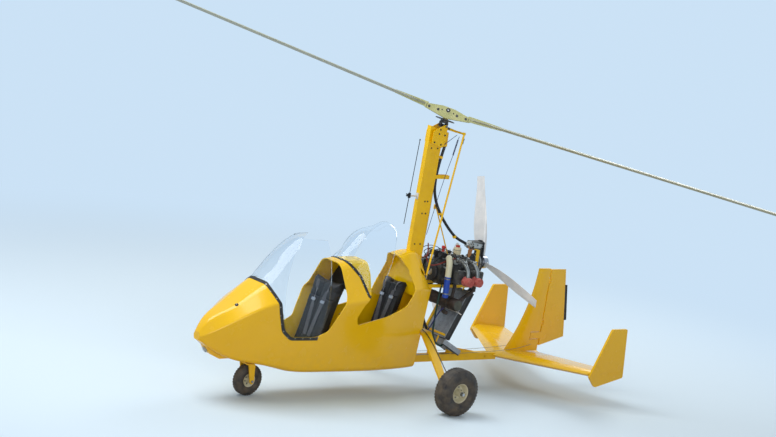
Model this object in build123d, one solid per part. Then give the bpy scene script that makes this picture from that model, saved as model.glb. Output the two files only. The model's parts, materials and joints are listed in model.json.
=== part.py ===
from build123d import *
import os
from math import atan2, cos, radians, sin, tan

# Open two seat gyrocopter with a pusher engine, standing on its three wheels.
# Millimetres. +X points aft, +Y to starboard, +Z up.
# The drawing's origin is on the ground straight below the middle of the rotor hub.

# Driving dimensions: shell
SHELL_WALL = 9.0
NOSE_X = -2548.0
SHELL_REAR_X = -12.0
SILL_Z = 615.0
SCREEN_WALL = 4.0
SCREEN_GAP = 3.0
SCREEN_EDGE_X = -1345.0
FRAME_STRIP_WIDTH = 30.0
FRAME_STRIP_PROUD = 4.0
PANEL_THICKNESS = 12.0
SEAM_SPLIT_Z = 950.0

# Driving dimensions: keel and mast
KEEL_SIDE = 70.0
KEEL_WALL = 4.0
KEEL_Z = 301.0
KEEL_FRONT_X = -1400.0
KEEL_REAR_X = 1210.0
MAST_LENGTH_X = 170.0
MAST_WIDTH = 50.0
MAST_WALL = 4.0
MAST_REAR_X = -30.0
MAST_TOP_FRONT_Z = 2605.0
MAST_TOP_REAR_Z = 2560.0

# Driving dimensions: landing gear
MAIN_TYRE_D = 455.0
MAIN_TYRE_W = 200.0
MAIN_RIM_D = 190.0
MAIN_WHEEL_X = -81.0
MAIN_WHEEL_Y = 870.0
LEG_THICKNESS = 24.0
LEG_ROOT_WIDTH = 125.0
LEG_TIP_WIDTH = 72.0
LEG_ROOT_Z = 612.0
LEG_FRONT_X = -27.0
LEG_BEND_Y = 205.0
NOSE_TYRE_D = 300.0
NOSE_TYRE_W = 100.0
NOSE_RIM_D = 130.0
NOSE_WHEEL_X = -1895.0
NOSE_PIVOT_X = -1930.0
AXLE_D = 30.0
NOSE_AXLE_D = 20.0
NOSE_AXLE_BORE = 10.0
RUN_CLEARANCE = 0.05
FIT_GAP = 0.5

# Driving dimensions: rotor
ROTOR_RADIUS = 4115.0
BLADE_CHORD = 220.0
BLADE_THICKNESS = 27.0
BLADE_FULL_CHORD_R = 470.0
CONE_ANGLE = 2.8
ROTOR_AZIMUTH = 45.0
HEAD_TILT = 14.0
HUB_Z = 2732.0
HUB_TO_PIVOT = 128.0
CHEEK_HALF_LENGTH = 230.0
CHEEK_HEIGHT = 107.0
CHEEK_THICKNESS = 6.0
CHEEK_GAP = 72.0
TEETER_BOLT_UP = 26.0
TEETER_BOLT_D = 16.0

# Driving dimensions: propeller and engine
PROP_RADIUS = 850.0
PROP_X = 820.0
PROP_Z = 1270.0
PROP_FIRST_ANGLE = -15.0
PROP_HUB_D = 130.0
PROP_SHAFT_D = 40.0
CRANK_Z = 1175.0

# Driving dimensions: tail
TAIL_HALF_SPAN = 868.0
TAIL_WALL = 4.0
FIN_HINGE_X = 1810.0
FIN_TOP_Z = 1204.0
FIN_BASE_Z = 338.0
FIN_THICKNESS = 42.0
TIP_FIN_THICKNESS = 24.0
HINGE_HALF_GAP = 8.0

# The row's origin is under the middle of the whole box, and the drawing's is under the hub
ROW_SHIFT_X = -49.3

os.makedirs("parts", exist_ok=True)
parts = {}


# Small helpers
def box(x0, x1, y0, y1, z0, z1):
    middle = Pos((x0 + x1) / 2, (y0 + y1) / 2, (z0 + z1) / 2)
    return middle * Box(abs(x1 - x0), abs(y1 - y0), abs(z1 - z0))


def rod(start, end, diameter):
    direction = Vector(*end) - Vector(*start)
    plane = Plane(origin=start, z_dir=direction)
    return extrude(plane * Circle(diameter / 2), direction.length)


def side_slab(points, half_width, radii=0, middle=0.0):
    """A flat shape drawn in side view (x, z), as thick as twice half_width about y = middle."""
    path = FilletPolyline(*points, radius=radii, close=True) if radii else Polyline(*points, close=True)
    plane = Plane(origin=(0, middle, 0), x_dir=(1, 0, 0), z_dir=(0, -1, 0))
    return extrude(plane * make_face(path), half_width, both=True)


def mirror_y(shape):
    return mirror(shape, about=Plane.XZ)


def together(*shapes):
    """Like pieces in one node, as solids that stay apart."""
    return Compound(children=[solid for shape in shapes for solid in shape.solids()])


def hose(points, diameter):
    """A round hose along hand chosen points, its bends as large as the runs allow."""
    vectors = [Vector(*p) for p in points]
    radii = []
    for a, b, c in zip(vectors, vectors[1:], vectors[2:]):
        turn = radians((b - a).get_angle(c - b))
        radii.append(0.45 * min((b - a).length, (c - b).length) / tan(turn / 2))
    path = FilletPolyline(*vectors, radius=radii) if radii else Polyline(*vectors)
    start = Plane(origin=vectors[0], z_dir=vectors[1] - vectors[0])
    return sweep(start * Circle(diameter / 2), path=path)


# Shell sections from nose to tail. Columns:
# x, bottom z, belly half width, crease z, crease half width, top z, crown half width,
# bottom r, side r, top r
SHELL_SECTIONS = [
    (NOSE_X, 545, 34, 582, 46, 618, 28, 16, 12, 16),
    (-2440, 482, 78, 655, 132, 768, 62, 30, 20, 45),
    (-2290, 408, 118, 760, 200, 858, 92, 40, 24, 60),
    (-2134, 366, 150, 858, 256, 962, 112, 45, 28, 80),
    (-1955, 340, 172, 936, 300, 1090, 130, 50, 34, 110),
    (-1600, 268, 186, 930, 326, 1190, 150, 55, 40, 140),
    (-1050, 240, 192, 950, 332, 1292, 130, 60, 44, 120),
    (-790, 236, 192, 980, 326, 1300, 120, 60, 44, 110),
    (-350, 238, 188, 1040, 300, 1352, 84, 60, 44, 76),
    (-190, 242, 178, 1060, 268, 1384, 62, 55, 40, 56),
    (SHELL_REAR_X, 250, 160, 1020, 214, 1226, 50, 50, 36, 44),
]


def shell_face(row, inset):
    x, bottom, belly, crease, side, top, crown, bottom_r, side_r, top_r = row
    half = [(belly - inset, bottom + inset), (side - inset, crease), (crown - inset * 0.7, top - inset)]
    outline = half + [(-y, z) for y, z in reversed(half)]
    corner = [bottom_r, side_r, top_r]
    line = FilletPolyline(*outline, radius=corner + corner[::-1], close=True)
    return Plane(origin=(x, 0, 0), x_dir=(0, 1, 0), z_dir=(1, 0, 0)) * make_face(line)


def shell_solid(inset, rows):
    return loft([shell_face(row, inset) for row in rows])


def inner_rows():
    first = SHELL_SECTIONS[0]
    second = SHELL_SECTIONS[1]
    share = 4 * SHELL_WALL / (second[0] - first[0])
    front = tuple(a + (b - a) * share for a, b in zip(first, second))
    last = (SHELL_SECTIONS[-1][0] - SHELL_WALL,) + SHELL_SECTIONS[-1][1:]
    return [front] + SHELL_SECTIONS[1:-1] + [last]


# Cockpit cut-outs in side view (x, z)
FRONT_OPENING = [
    (-1940, 1500), (-1940, 1084), (-1845, 850), (-1770, 690), (-1672, SILL_Z),
    (-1390, SILL_Z), (-1262, 672), (-1112, 1010), (-1122, 1238), (-1150, 1500),
]
FRONT_OPENING_RADII = [0, 0, 200, 120, 90, 90, 80, 120, 60, 0]
REAR_OPENING = [
    (-790, 1500), (-790, 1190), (-835, 1010), (-905, 925), (-956, 800), (-925, 722),
    (-560, 806), (-335, 905), (-262, 1060), (-300, 1230), (-395, 1372), (-395, 1500),
]
REAR_OPENING_RADII = [0, 0, 60, 60, 60, 40, 300, 90, 110, 140, 20, 0]
POD_SPLIT = [
    (-1275, 665), (-1083, 688), (-925, 722), (-880, 722), (-700, 1000), (-700, 1500), (-1275, 1500),
]

front_cut = side_slab(FRONT_OPENING, 450, FRONT_OPENING_RADII)
rear_cut = side_slab(REAR_OPENING, 450, REAR_OPENING_RADII)
pod_region = side_slab(POD_SPLIT, 440)

shell_outer = shell_solid(0, SHELL_SECTIONS)
shell_inner = shell_solid(SHELL_WALL, inner_rows())
leg_slot = box(LEG_FRONT_X - 9, 50, -600, 600, LEG_ROOT_Z - 22, LEG_ROOT_Z + 22)
leg_slot += box(LEG_FRONT_X - 9, 50, -78, 78, LEG_ROOT_Z - 28, LEG_ROOT_Z + 28)
mast_hole = box(
    MAST_REAR_X - MAST_LENGTH_X - FIT_GAP, MAST_REAR_X + FIT_GAP,
    -MAST_WIDTH / 2 - FIT_GAP, MAST_WIDTH / 2 + FIT_GAP, 700, 1500,
)
rod_slots = box(-120, 20, 114, 162, 1100, 1340)
rod_slots += mirror_y(rod_slots)
bed_slot = box(-40, 20, -118, 118, 1015, 1085)
keel_hole = box(
    -500, 100, -KEEL_SIDE / 2 - FIT_GAP, KEEL_SIDE / 2 + FIT_GAP,
    KEEL_Z - KEEL_SIDE / 2 - FIT_GAP, KEEL_Z + KEEL_SIDE / 2 + FIT_GAP,
)
stem_hole = Pos(NOSE_PIVOT_X, 0, 360) * Cylinder(35, 200)
fork_room = Pos(NOSE_PIVOT_X, 0, 300) * Cylinder(98, 44)

shell = shell_outer - shell_inner - front_cut - rear_cut
shell = shell - leg_slot - mast_hole - keel_hole - stem_hole - fork_room - rod_slots - bed_slot
pod = shell & pod_region
rest = shell - pod_region
fairing_region = box(-420, 100, -450, 450, SEAM_SPLIT_Z, 1600)
parts["tub_shell"] = rest - fairing_region
parts["mast_fairing"] = rest & fairing_region
parts["centre_pod"] = pod


# Windscreens: blown bubbles of upright half ellipses, hollowed and trimmed in side view
# Columns: x, half width, height of the widest line, top z
FRONT_BUBBLE = [
    (-1990, 275, 780, 1066),
    (-1865, 286, 850, 1206),
    (-1785, 302, 890, 1310),
    (-1690, 312, 920, 1422),
    (-1600, 314, 930, 1500),
    (-1450, 315, 945, 1562),
    (-1300, 315, 950, 1580),
]
REAR_BUBBLE = [
    (-1060, 170, 940, 1262),
    (-960, 214, 940, 1420),
    (-905, 246, 940, 1487),
    (-850, 284, 940, 1548),
    (-770, 306, 940, 1592),
    (-600, 312, 940, 1636),
    (-480, 310, 940, 1640),
]


def bubble(rows, inset):
    faces = []
    for x, half_width, middle_z, top in rows:
        plane = Plane(origin=(x, 0, middle_z), x_dir=(0, 1, 0), z_dir=(1, 0, 0))
        faces.append(plane * Ellipse(half_width - inset, top - middle_z - inset))
    return loft(faces)


front_trim = side_slab(
    [(-2010, 560), (-1390, 560), (SCREEN_EDGE_X, 640), (SCREEN_EDGE_X, 1620), (-2010, 1620)], 450,
    [0, 0, 30, 0, 0],
)
front_screen = bubble(FRONT_BUBBLE, 0) - bubble(FRONT_BUBBLE, SCREEN_WALL)
front_screen = front_screen & front_trim & (Pos(SCREEN_GAP, 0, SCREEN_GAP) * front_cut)
parts["windscreen_front"] = front_screen

REAR_SCREEN_TRIM = [
    (-1100, 940), (-765, 940), (-745, 1010), (-668, 1184), (-602, 1330), (-560, 1470), (-480, 1650),
    (-1100, 1700),
]
rear_trim = side_slab(REAR_SCREEN_TRIM, 450, [0, 0, 60, 200, 200, 120, 0, 0])
rear_screen = bubble(REAR_BUBBLE, 0) - bubble(REAR_BUBBLE, SCREEN_WALL)
parts["windscreen_rear"] = (rear_screen & rear_trim) - shell_solid(-FRAME_STRIP_PROUD - 1, SHELL_SECTIONS)

# Dark strips that hold the screens to the shell
proud_shell = shell_solid(-FRAME_STRIP_PROUD, SHELL_SECTIONS) - shell_outer
FRONT_STRIP = [
    (-1940 - FRAME_STRIP_WIDTH, 1500), (-1940 - FRAME_STRIP_WIDTH, 1084), (-1874, 840), (-1794, 668),
    (-1680, SILL_Z - FRAME_STRIP_WIDTH), (-1370, SILL_Z - FRAME_STRIP_WIDTH), (-1370, 1500),
]
front_strip_region = side_slab(FRONT_STRIP, 460, [0, 0, 220, 140, 100, 0, 0]) - front_cut
front_strip = proud_shell & front_strip_region
REAR_STRIP_LINE = [(-1020, 1500), (-1020, 1300), (-905, 1185), (-850, 1020), (-770, 975)]
rear_strip_region = side_slab(
    REAR_STRIP_LINE
    + [(-770, 975 - FRAME_STRIP_WIDTH), (-872, 1004), (-930, 1168), (-1048, 1290), (-1048, 1500)],
    460,
)
rear_strip = (proud_shell & rear_strip_region) - rear_cut
parts["screen_frames"] = together(front_strip, rear_strip)

# Keel, brace and mast
keel_top = KEEL_Z + KEEL_SIDE / 2
keel_bottom = KEEL_Z - KEEL_SIDE / 2
keel = box(KEEL_FRONT_X, KEEL_REAR_X, -KEEL_SIDE / 2, KEEL_SIDE / 2, keel_bottom, keel_top)
keel_bore = KEEL_SIDE / 2 - KEEL_WALL
keel = keel - box(
    KEEL_FRONT_X + KEEL_WALL, KEEL_REAR_X - KEEL_WALL, -keel_bore, keel_bore,
    KEEL_Z - keel_bore, KEEL_Z + keel_bore,
)
tow_bore = Pos(1050, 0, KEEL_Z) * Rot(90, 0, 0) * Cylinder(8, 200)
saddles = box(-1300, -1240, -60, 60, 200, keel_bottom) + box(-700, -640, -60, 60, 200, keel_bottom)
saddles = (saddles + box(-260, -200, -60, 60, 200, keel_bottom)) & shell_inner
parts["keel_tube"] = (keel + saddles) - tow_bore

mast_front_x = MAST_REAR_X - MAST_LENGTH_X
mast_outline = [
    (mast_front_x, keel_top), (MAST_REAR_X, keel_top),
    (MAST_REAR_X, MAST_TOP_REAR_Z), (mast_front_x, MAST_TOP_FRONT_Z),
]
mast = side_slab(mast_outline, MAST_WIDTH / 2)
mast_core = box(
    mast_front_x + MAST_WALL, MAST_REAR_X - MAST_WALL,
    -MAST_WIDTH / 2 + MAST_WALL, MAST_WIDTH / 2 - MAST_WALL,
    keel_top + MAST_WALL, MAST_TOP_FRONT_Z + 50,
)
parts["mast"] = mast - mast_core

# Nose gear: sloping carrier tube, steering head, fork, axle and wheel
carrier = side_slab([(KEEL_FRONT_X, 268), (KEEL_FRONT_X, 334), (-1905, 474), (-1905, 408)], 28)
steer_head = Pos(NOSE_PIVOT_X, 0, 430) * Cylinder(30, 110)
stem_d = 32.0
steer_bore = Pos(NOSE_PIVOT_X, 0, 430) * Cylinder(stem_d / 2 + RUN_CLEARANCE, 400)
parts["nose_gear_carrier"] = (carrier + steer_head) - steer_bore

fork_half = NOSE_TYRE_W / 2 + 14
fork_blade = 10.0
crown_z = NOSE_TYRE_D + 7
crown = box(-1972, -1886, -fork_half - fork_blade, fork_half + fork_blade, crown_z, crown_z + 10)
crown = fillet(crown.edges().filter_by(Axis.Z), 18)
stem = Pos(NOSE_PIVOT_X, 0, (crown_z + 500) / 2) * Cylinder(stem_d / 2, 500 - crown_z)
stem_cap = Pos(NOSE_PIVOT_X, 0, 497) * Cylinder(26, 14)
blade_side = [(-1960, crown_z + 5), (-1886, crown_z + 5), (-1872, 140), (-1895, 122), (-1918, 140)]
fork = crown + stem + stem_cap
for sign in (-1, 1):
    fork += side_slab(blade_side, fork_blade / 2, 0, sign * (fork_half + fork_blade / 2))
axle_hole = Pos(NOSE_WHEEL_X, 0, NOSE_TYRE_D / 2) * Rot(90, 0, 0) * Cylinder(NOSE_AXLE_D / 2, 300)
parts["nose_fork"] = fork - axle_hole
nose_axle_length = 2 * (fork_half + fork_blade) + 20
nose_axle = Pos(NOSE_WHEEL_X, 0, NOSE_TYRE_D / 2) * Rot(90, 0, 0) * (
    Cylinder(NOSE_AXLE_D / 2, nose_axle_length) - Cylinder(NOSE_AXLE_BORE / 2, nose_axle_length)
)
parts["nose_axle"] = nose_axle


def tyre_and_rim(tyre_d, tyre_w, rim_d, bore_d, hub_w):
    """A tyre and its wheel about the Y axis at the origin, as two solids that meet at the bead."""
    half_w = tyre_w / 2
    bead_w = half_w * 0.62
    outer_r = tyre_d / 2
    rim_r = rim_d / 2
    shoulder = half_w * 0.62
    tyre_line = FilletPolyline(
        (rim_r, -bead_w), (rim_r + (outer_r - rim_r) * 0.42, -half_w), (outer_r - 8, -shoulder), (outer_r, 0),
        (outer_r - 8, shoulder), (rim_r + (outer_r - rim_r) * 0.42, half_w), (rim_r, bead_w),
        radius=[0, half_w * 0.5, half_w * 0.4, half_w * 1.2, half_w * 0.4, half_w * 0.5, 0], close=True,
    )
    tyre_shape = revolve(make_face(Plane.XY * tyre_line), Axis.Y)
    well = rim_r * 0.72
    rim_line = Polyline(
        (bore_d / 2, -hub_w / 2), (bore_d / 2 + 14, -hub_w / 2), (bore_d / 2 + 18, -10), (well, -12),
        (rim_r - 8, -bead_w + 4), (rim_r, -bead_w), (rim_r, bead_w), (rim_r - 8, bead_w - 4), (well, 12),
        (bore_d / 2 + 18, 10), (bore_d / 2 + 14, hub_w / 2), (bore_d / 2, hub_w / 2), close=True,
    )
    rim_shape = revolve(make_face(Plane.XY * rim_line), Axis.Y)
    return tyre_shape, rim_shape


nose_tyre, nose_rim = tyre_and_rim(
    NOSE_TYRE_D, NOSE_TYRE_W, NOSE_RIM_D, NOSE_AXLE_D + 2 * RUN_CLEARANCE, NOSE_TYRE_W
)
nose_place = Pos(NOSE_WHEEL_X, 0, NOSE_TYRE_D / 2)
parts["nose_tyre"] = nose_place * nose_tyre
parts["nose_rim"] = nose_place * nose_rim

# Main gear: one sprung bow clamped behind the mast foot, stub axles and wheels
leg_tip_y = 735.0
leg_tip_z = 258.0
leg_tip_x = -139.0
slope = atan2(LEG_ROOT_Z - leg_tip_z, leg_tip_y - LEG_BEND_Y)
thick = LEG_THICKNESS / 2
leg_outline = [
    (0, LEG_ROOT_Z - thick), (LEG_BEND_Y - 3, LEG_ROOT_Z - thick),
    (leg_tip_y - thick * sin(slope), leg_tip_z - thick * cos(slope)),
    (leg_tip_y + thick * sin(slope), leg_tip_z + thick * cos(slope)),
    (LEG_BEND_Y + 7, LEG_ROOT_Z + thick), (0, LEG_ROOT_Z + thick),
]
leg_front = FilletPolyline(*leg_outline, radius=[0, 150, 0, 0, 150 + LEG_THICKNESS, 0], close=True)
leg_face = Plane(origin=(0, 0, 0), x_dir=(0, 1, 0), z_dir=(1, 0, 0)) * make_face(leg_front)
leg_bar = extrude(leg_face, 300, both=True)
leg_rear_x = LEG_FRONT_X + LEG_ROOT_WIDTH
leg_plan = Polyline(
    (LEG_FRONT_X, 0), (leg_rear_x, 0), (leg_rear_x, 190), (leg_tip_x + LEG_TIP_WIDTH / 2, 800),
    (leg_tip_x - LEG_TIP_WIDTH / 2, 800), (LEG_FRONT_X, 190), close=True,
)
leg = leg_bar & extrude(make_face(leg_plan), 900)
axle_z = MAIN_TYRE_D / 2
axle_block = box(leg_tip_x - 36, MAIN_WHEEL_X + 32, leg_tip_y - 12, leg_tip_y + 8, axle_z - 34, axle_z + 62)
axle_block = fillet(axle_block.edges().filter_by(Axis.Y), 12)
main_axle = Pos(MAIN_WHEEL_X, 0, axle_z) * Rot(-90, 0, 0) * (
    Pos(0, 0, (leg_tip_y + 975) / 2) * Cylinder(AXLE_D / 2, 975 - leg_tip_y)
)
stub = axle_block + main_axle
main_tyre, main_rim = tyre_and_rim(MAIN_TYRE_D, MAIN_TYRE_W, MAIN_RIM_D, AXLE_D + 2 * RUN_CLEARANCE, 150)
clamp_t = 14.0
clamps = box(MAST_REAR_X, leg_rear_x + 4, -75, 75, LEG_ROOT_Z + thick, LEG_ROOT_Z + thick + clamp_t)
lower_clamp = box(MAST_REAR_X, leg_rear_x + 4, -75, 75, LEG_ROOT_Z - thick - clamp_t, LEG_ROOT_Z - thick)
parts["gear_clamps"] = together(clamps, lower_clamp)
caliper = box(MAIN_WHEEL_X - 40, MAIN_WHEEL_X + 40, leg_tip_y + 8, leg_tip_y + 40, axle_z + 40, axle_z + 92)
stub += fillet(caliper.edges().filter_by(Axis.Y), 12)
disc_y = leg_tip_y + 24 - MAIN_WHEEL_Y
disc = Pos(0, disc_y, 0) * Rot(90, 0, 0) * (Cylinder(82, 5) - Cylinder(AXLE_D / 2 + 12, 5))
disc_carrier = Cylinder(34, -70 - disc_y) - Cylinder(AXLE_D / 2 + 1, 200)
disc += Pos(0, (disc_y - 70) / 2, 0) * Rot(90, 0, 0) * disc_carrier
leg = leg - stub
disc_slot = Cylinder(87, 15) - Cylinder(16, 15)
stub = stub - Pos(MAIN_WHEEL_X, disc_y + MAIN_WHEEL_Y, axle_z) * Rot(90, 0, 0) * disc_slot
for side, sign in (("starboard", 1), ("port", -1)):
    wheel_place = Pos(MAIN_WHEEL_X, sign * MAIN_WHEEL_Y, axle_z)
    parts["tyre_" + side] = wheel_place * main_tyre
    wheel = main_rim + disc
    parts["rim_" + side] = wheel_place * (wheel if sign > 0 else mirror_y(wheel))
parts["gear_legs"] = leg + mirror_y(leg)
parts["main_axles"] = together(stub, mirror_y(stub))

# Head plates on the mast top and the two stage gimbal
tilt = radians(HEAD_TILT)
pivot_x = -HUB_TO_PIVOT * sin(tilt)
pivot_z = HUB_Z - HUB_TO_PIVOT * cos(tilt)
pin_d = 14.0
plate_in = 47.0
plate_t = 6.0
head_plate_outline = [
    (mast_front_x + 20, 2440), (MAST_REAR_X, 2400), (MAST_REAR_X + 26, 2480), (pivot_x + 18, pivot_z - 8),
    (pivot_x + 12, pivot_z + 15), (pivot_x - 12, pivot_z + 15), (mast_front_x + 20, 2560),
]
head_plates = []
for sign in (-1, 1):
    plate_y = sign * (plate_in + plate_t / 2)
    plate = side_slab(head_plate_outline, plate_t / 2, [8, 20, 30, 10, 12, 12, 20], plate_y)
    spacer_y = sign * (MAST_WIDTH / 2 + plate_in) / 2
    spacer = Pos(mast_front_x + 85, spacer_y, 2480) * Box(90, plate_in - MAST_WIDTH / 2, 60)
    bore = Pos(pivot_x, 0, pivot_z) * Rot(90, 0, 0) * Cylinder(pin_d / 2 + RUN_CLEARANCE, 200)
    head_plates.append(((plate + spacer) - bore).solids()[0])
parts["head_plates"] = Compound(children=head_plates)

head_frame = Plane(origin=(0, 0, HUB_Z), x_dir=(cos(tilt), 0, -sin(tilt)), z_dir=(sin(tilt), 0, cos(tilt)))
head_place = head_frame.location
pivot_place = head_place * Pos(0, 0, -HUB_TO_PIVOT)
gimbal = Box(46, 60, 34)
gimbal = fillet(gimbal.edges().filter_by(Axis.Z), 6)
pitch_pin = Rot(90, 0, 0) * Cylinder(pin_d / 2, 2 * (plate_in + plate_t + 4))
roll_pin = Rot(0, 90, 0) * Cylinder(pin_d / 2, 108)
parts["gimbal_block"] = pivot_place * (gimbal + pitch_pin + roll_pin)

# Torque head: bearing housing, ears on the roll pin and the rear control horn
housing_low = 28.0
housing_high = 52.0
housing = Pos(0, 0, (housing_low + housing_high) / 2) * Cylinder(40, housing_high - housing_low)
ears = Pos(-39, 0, 10) * Box(14, 34, 48) + Pos(39, 0, 10) * Box(14, 34, 48)
bridge = Pos(0, 0, housing_low + 4) * Box(92, 34, 12)
horn_bar = Pos(112, 0, -4) * Box(136, 26, 20)
horn_cross = Pos(172, 0, -4) * Box(18, 250, 18)
roll_bore = Rot(0, 90, 0) * Cylinder(pin_d / 2 + RUN_CLEARANCE, 240)
spindle_d = 36.0
spindle_bore = Pos(0, 0, 60) * Cylinder(spindle_d / 2 + RUN_CLEARANCE, 80)
pin_end_bore = Pos(60, 0, 0) * Rot(0, 90, 0) * Cylinder(pin_d / 2 + RUN_CLEARANCE, 40)
torque_head = (housing + bridge + ears) - roll_bore - spindle_bore
torque_head += horn_bar + horn_cross - pin_end_bore
parts["torque_head"] = pivot_place * torque_head

# Rotor spindle with its teeter block, all in the rotor's own frame: X along the near blade
blade_direction = Vector(sin(radians(ROTOR_AZIMUTH)), -cos(radians(ROTOR_AZIMUTH)), 0)
tilted = Vector(
    blade_direction.X * cos(tilt), blade_direction.Y, -blade_direction.X * sin(tilt),
)
rotor_frame = Plane(origin=(0, 0, HUB_Z), x_dir=tilted, z_dir=(sin(tilt), 0, cos(tilt)))
rotor_place = rotor_frame.location
block_half = 26.0
block_bottom = -60.0
block_top = 44.0
teeter_block = Pos(0, 0, (block_bottom + block_top) / 2) * Box(2 * block_half, 56, block_top - block_bottom)
teeter_block = fillet(teeter_block.edges().filter_by(Axis.Y).group_by(Axis.Z)[-1], 18)
spindle_low = -HUB_TO_PIVOT + housing_low - 2
spindle = Pos(0, 0, (spindle_low + block_bottom) / 2) * Cylinder(spindle_d / 2, block_bottom - spindle_low)
teeter_bore = Pos(0, 0, TEETER_BOLT_UP) * Rot(90, 0, 0) * Cylinder(TEETER_BOLT_D / 2 + RUN_CLEARANCE, 200)
parts["teeter_tower"] = rotor_place * ((teeter_block + spindle) - teeter_bore)
ring_z = -68.0
ring = Pos(0, 0, ring_z) * (Cylinder(92, 8) - Cylinder(spindle_d / 2, 20))
parts["starter_ring"] = rotor_place * ring

cheek_outline = [
    (-CHEEK_HALF_LENGTH, -16), (-20, -CHEEK_HEIGHT / 2), (20, -CHEEK_HEIGHT / 2), (CHEEK_HALF_LENGTH, -16),
    (CHEEK_HALF_LENGTH, 22), (60, CHEEK_HEIGHT / 2), (-60, CHEEK_HEIGHT / 2), (-CHEEK_HALF_LENGTH, 22),
]
cheeks = []
for sign in (-1, 1):
    cheek = side_slab(
        cheek_outline, CHEEK_THICKNESS / 2, [8, 20, 20, 8, 8, 30, 30, 8],
        sign * (CHEEK_GAP + CHEEK_THICKNESS) / 2,
    )
    cheeks.append(cheek)
teeter_bolt = Pos(0, 0, TEETER_BOLT_UP) * Rot(90, 0, 0) * Cylinder(TEETER_BOLT_D / 2, CHEEK_GAP + 44)
hub = cheeks[0] + cheeks[1] + teeter_bolt
for sign in (-1, 1):
    root_block = Pos(sign * 133, 0, 3) * Box(130, CHEEK_GAP, BLADE_THICKNESS)
    hub += root_block


def airfoil(chord, thickness, tail_edge=2.0):
    """A closed wing section, leading edge at the origin, chord along +X, thickness along Y."""
    half = thickness / 2
    nose = 0.1 * chord
    peak = 0.34 * chord
    upper_nose = ThreePointArc((0, 0), (nose, half * 0.74), (peak, half))
    upper_tail = ThreePointArc((peak, half), (0.7 * chord, half * 0.62), (chord, tail_edge / 2))
    edge = Line((chord, tail_edge / 2), (chord, -tail_edge / 2))
    lower_tail = ThreePointArc((chord, -tail_edge / 2), (0.7 * chord, -half * 0.62), (peak, -half))
    lower_nose = ThreePointArc((peak, -half), (nose, -half * 0.74), (0, 0))
    return make_face([upper_nose, upper_tail, edge, lower_tail, lower_nose])


blade_start = 200.0
section_plane = Plane(origin=(blade_start, -BLADE_CHORD * 0.3, 0), x_dir=(0, 1, 0), z_dir=(1, 0, 0))
blade = extrude(section_plane * airfoil(BLADE_CHORD, BLADE_THICKNESS), ROTOR_RADIUS - blade_start)
neck = CHEEK_GAP / 2
plan = Polyline(
    (blade_start, -neck), (CHEEK_HALF_LENGTH + 5, -neck), (BLADE_FULL_CHORD_R, -BLADE_CHORD),
    (ROTOR_RADIUS, -BLADE_CHORD), (ROTOR_RADIUS, BLADE_CHORD), (BLADE_FULL_CHORD_R, BLADE_CHORD),
    (CHEEK_HALF_LENGTH + 5, neck), (blade_start, neck),
    close=True,
)
blade = blade & extrude(make_face(plan), 100, both=True)
coned = Pos(0, 0, 3) * Rot(0, -CONE_ANGLE, 0) * blade
strap_outline = [(204, -26), (300, -24), (540, -15), (540, 15), (300, 24), (204, 26)]
strap = Pos(0, 0, 3) * Rot(0, -CONE_ANGLE, 0) * (side_slab(strap_outline, CHEEK_GAP / 2) - blade)
parts["rotor_hub"] = rotor_place * (hub + strap + Rot(0, 0, 180) * strap)
parts["rotor_blades"] = together(rotor_place * coned, rotor_place * Rot(0, 0, 180) * coned)

# Control rods from the horn down into the mast fairing
horn_end = (pivot_place * Pos(172, 0, -4)).position
rod_y = 138.0
rod_low_x = -46.0
rod_low_z = 1050.0
for side, sign in (("starboard", 1), ("port", -1)):
    shaft = rod((horn_end.X, sign * rod_y, horn_end.Z), (rod_low_x, sign * rod_y, rod_low_z), 18)
    eye = Pos(horn_end.X, sign * rod_y, horn_end.Z) * Rot(90, 0, 0) * Cylinder(15, 14)
    parts["control_rod_" + side] = shaft + eye

# Propeller: hub with flange and three twisted blades
# Columns: radius, chord, thickness, blade angle
PROP_SECTIONS = [(58, 62, 36, 52), (200, 118, 24, 38), (480, 128, 15, 24), (PROP_RADIUS, 84, 7, 15)]


def prop_section(radius, chord, thickness, angle):
    plane = Plane(origin=(0, 0, radius), x_dir=(0, 1, 0), z_dir=(0, 0, 1))
    return plane * Rot(0, 0, angle) * Pos(-chord * 0.36, 0) * airfoil(chord, thickness)


prop_blade = loft([prop_section(*row) for row in PROP_SECTIONS])
prop_hub = Rot(0, 90, 0) * Cylinder(PROP_HUB_D / 2, 62)
prop_hub = fillet(prop_hub.edges().group_by(Axis.X)[-1], 14)
blades = []
for turn in (0, 120, 240):
    blades.append(Pos(PROP_X, 0, PROP_Z) * Rot(PROP_FIRST_ANGLE - turn, 0, 0) * (prop_blade - prop_hub))
parts["prop_blades"] = together(*blades)
prop_shaft = Pos(-50, 0, 0) * Rot(0, 90, 0) * Cylinder(PROP_SHAFT_D / 2, 50)
prop_flange = Pos(-37, 0, 0) * Rot(0, 90, 0) * Cylinder(50, 14)
parts["prop_hub"] = Pos(PROP_X, 0, PROP_Z) * (prop_hub + prop_shaft + prop_flange)

# Engine: flat four on a bed frame behind the mast, gearbox at its rear end
case_front = 170.0
case_rear = 640.0
bore_xs = (312.0, 512.0)
fin_count = 8
fin_pitch = 13.0
crankcase = box(case_front, case_rear, -105, 105, CRANK_Z - 95, CRANK_Z + 95)
crankcase = fillet(crankcase.edges().filter_by(Axis.X), 30)
sump = Pos(405, 0, CRANK_Z - 105) * Box(300, 130, 40)
top_rail = box(case_front + 30, case_rear - 30, -40, 40, CRANK_Z + 95, CRANK_Z + 130)
parts["crankcase"] = crankcase + sump + top_rail
gear_case = (
    Pos(case_rear + 45, 0, PROP_Z) * Rot(0, 90, 0) * Cylinder(84, 90)
    + Pos(case_rear + 45, 0, CRANK_Z - 10) * Rot(0, 90, 0) * Cylinder(90, 90)
)
nose_end = PROP_X - 50.0
flange = Pos(nose_end - 20, 0, PROP_Z) * Rot(0, 90, 0) * Cylinder(44, 40)
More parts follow.
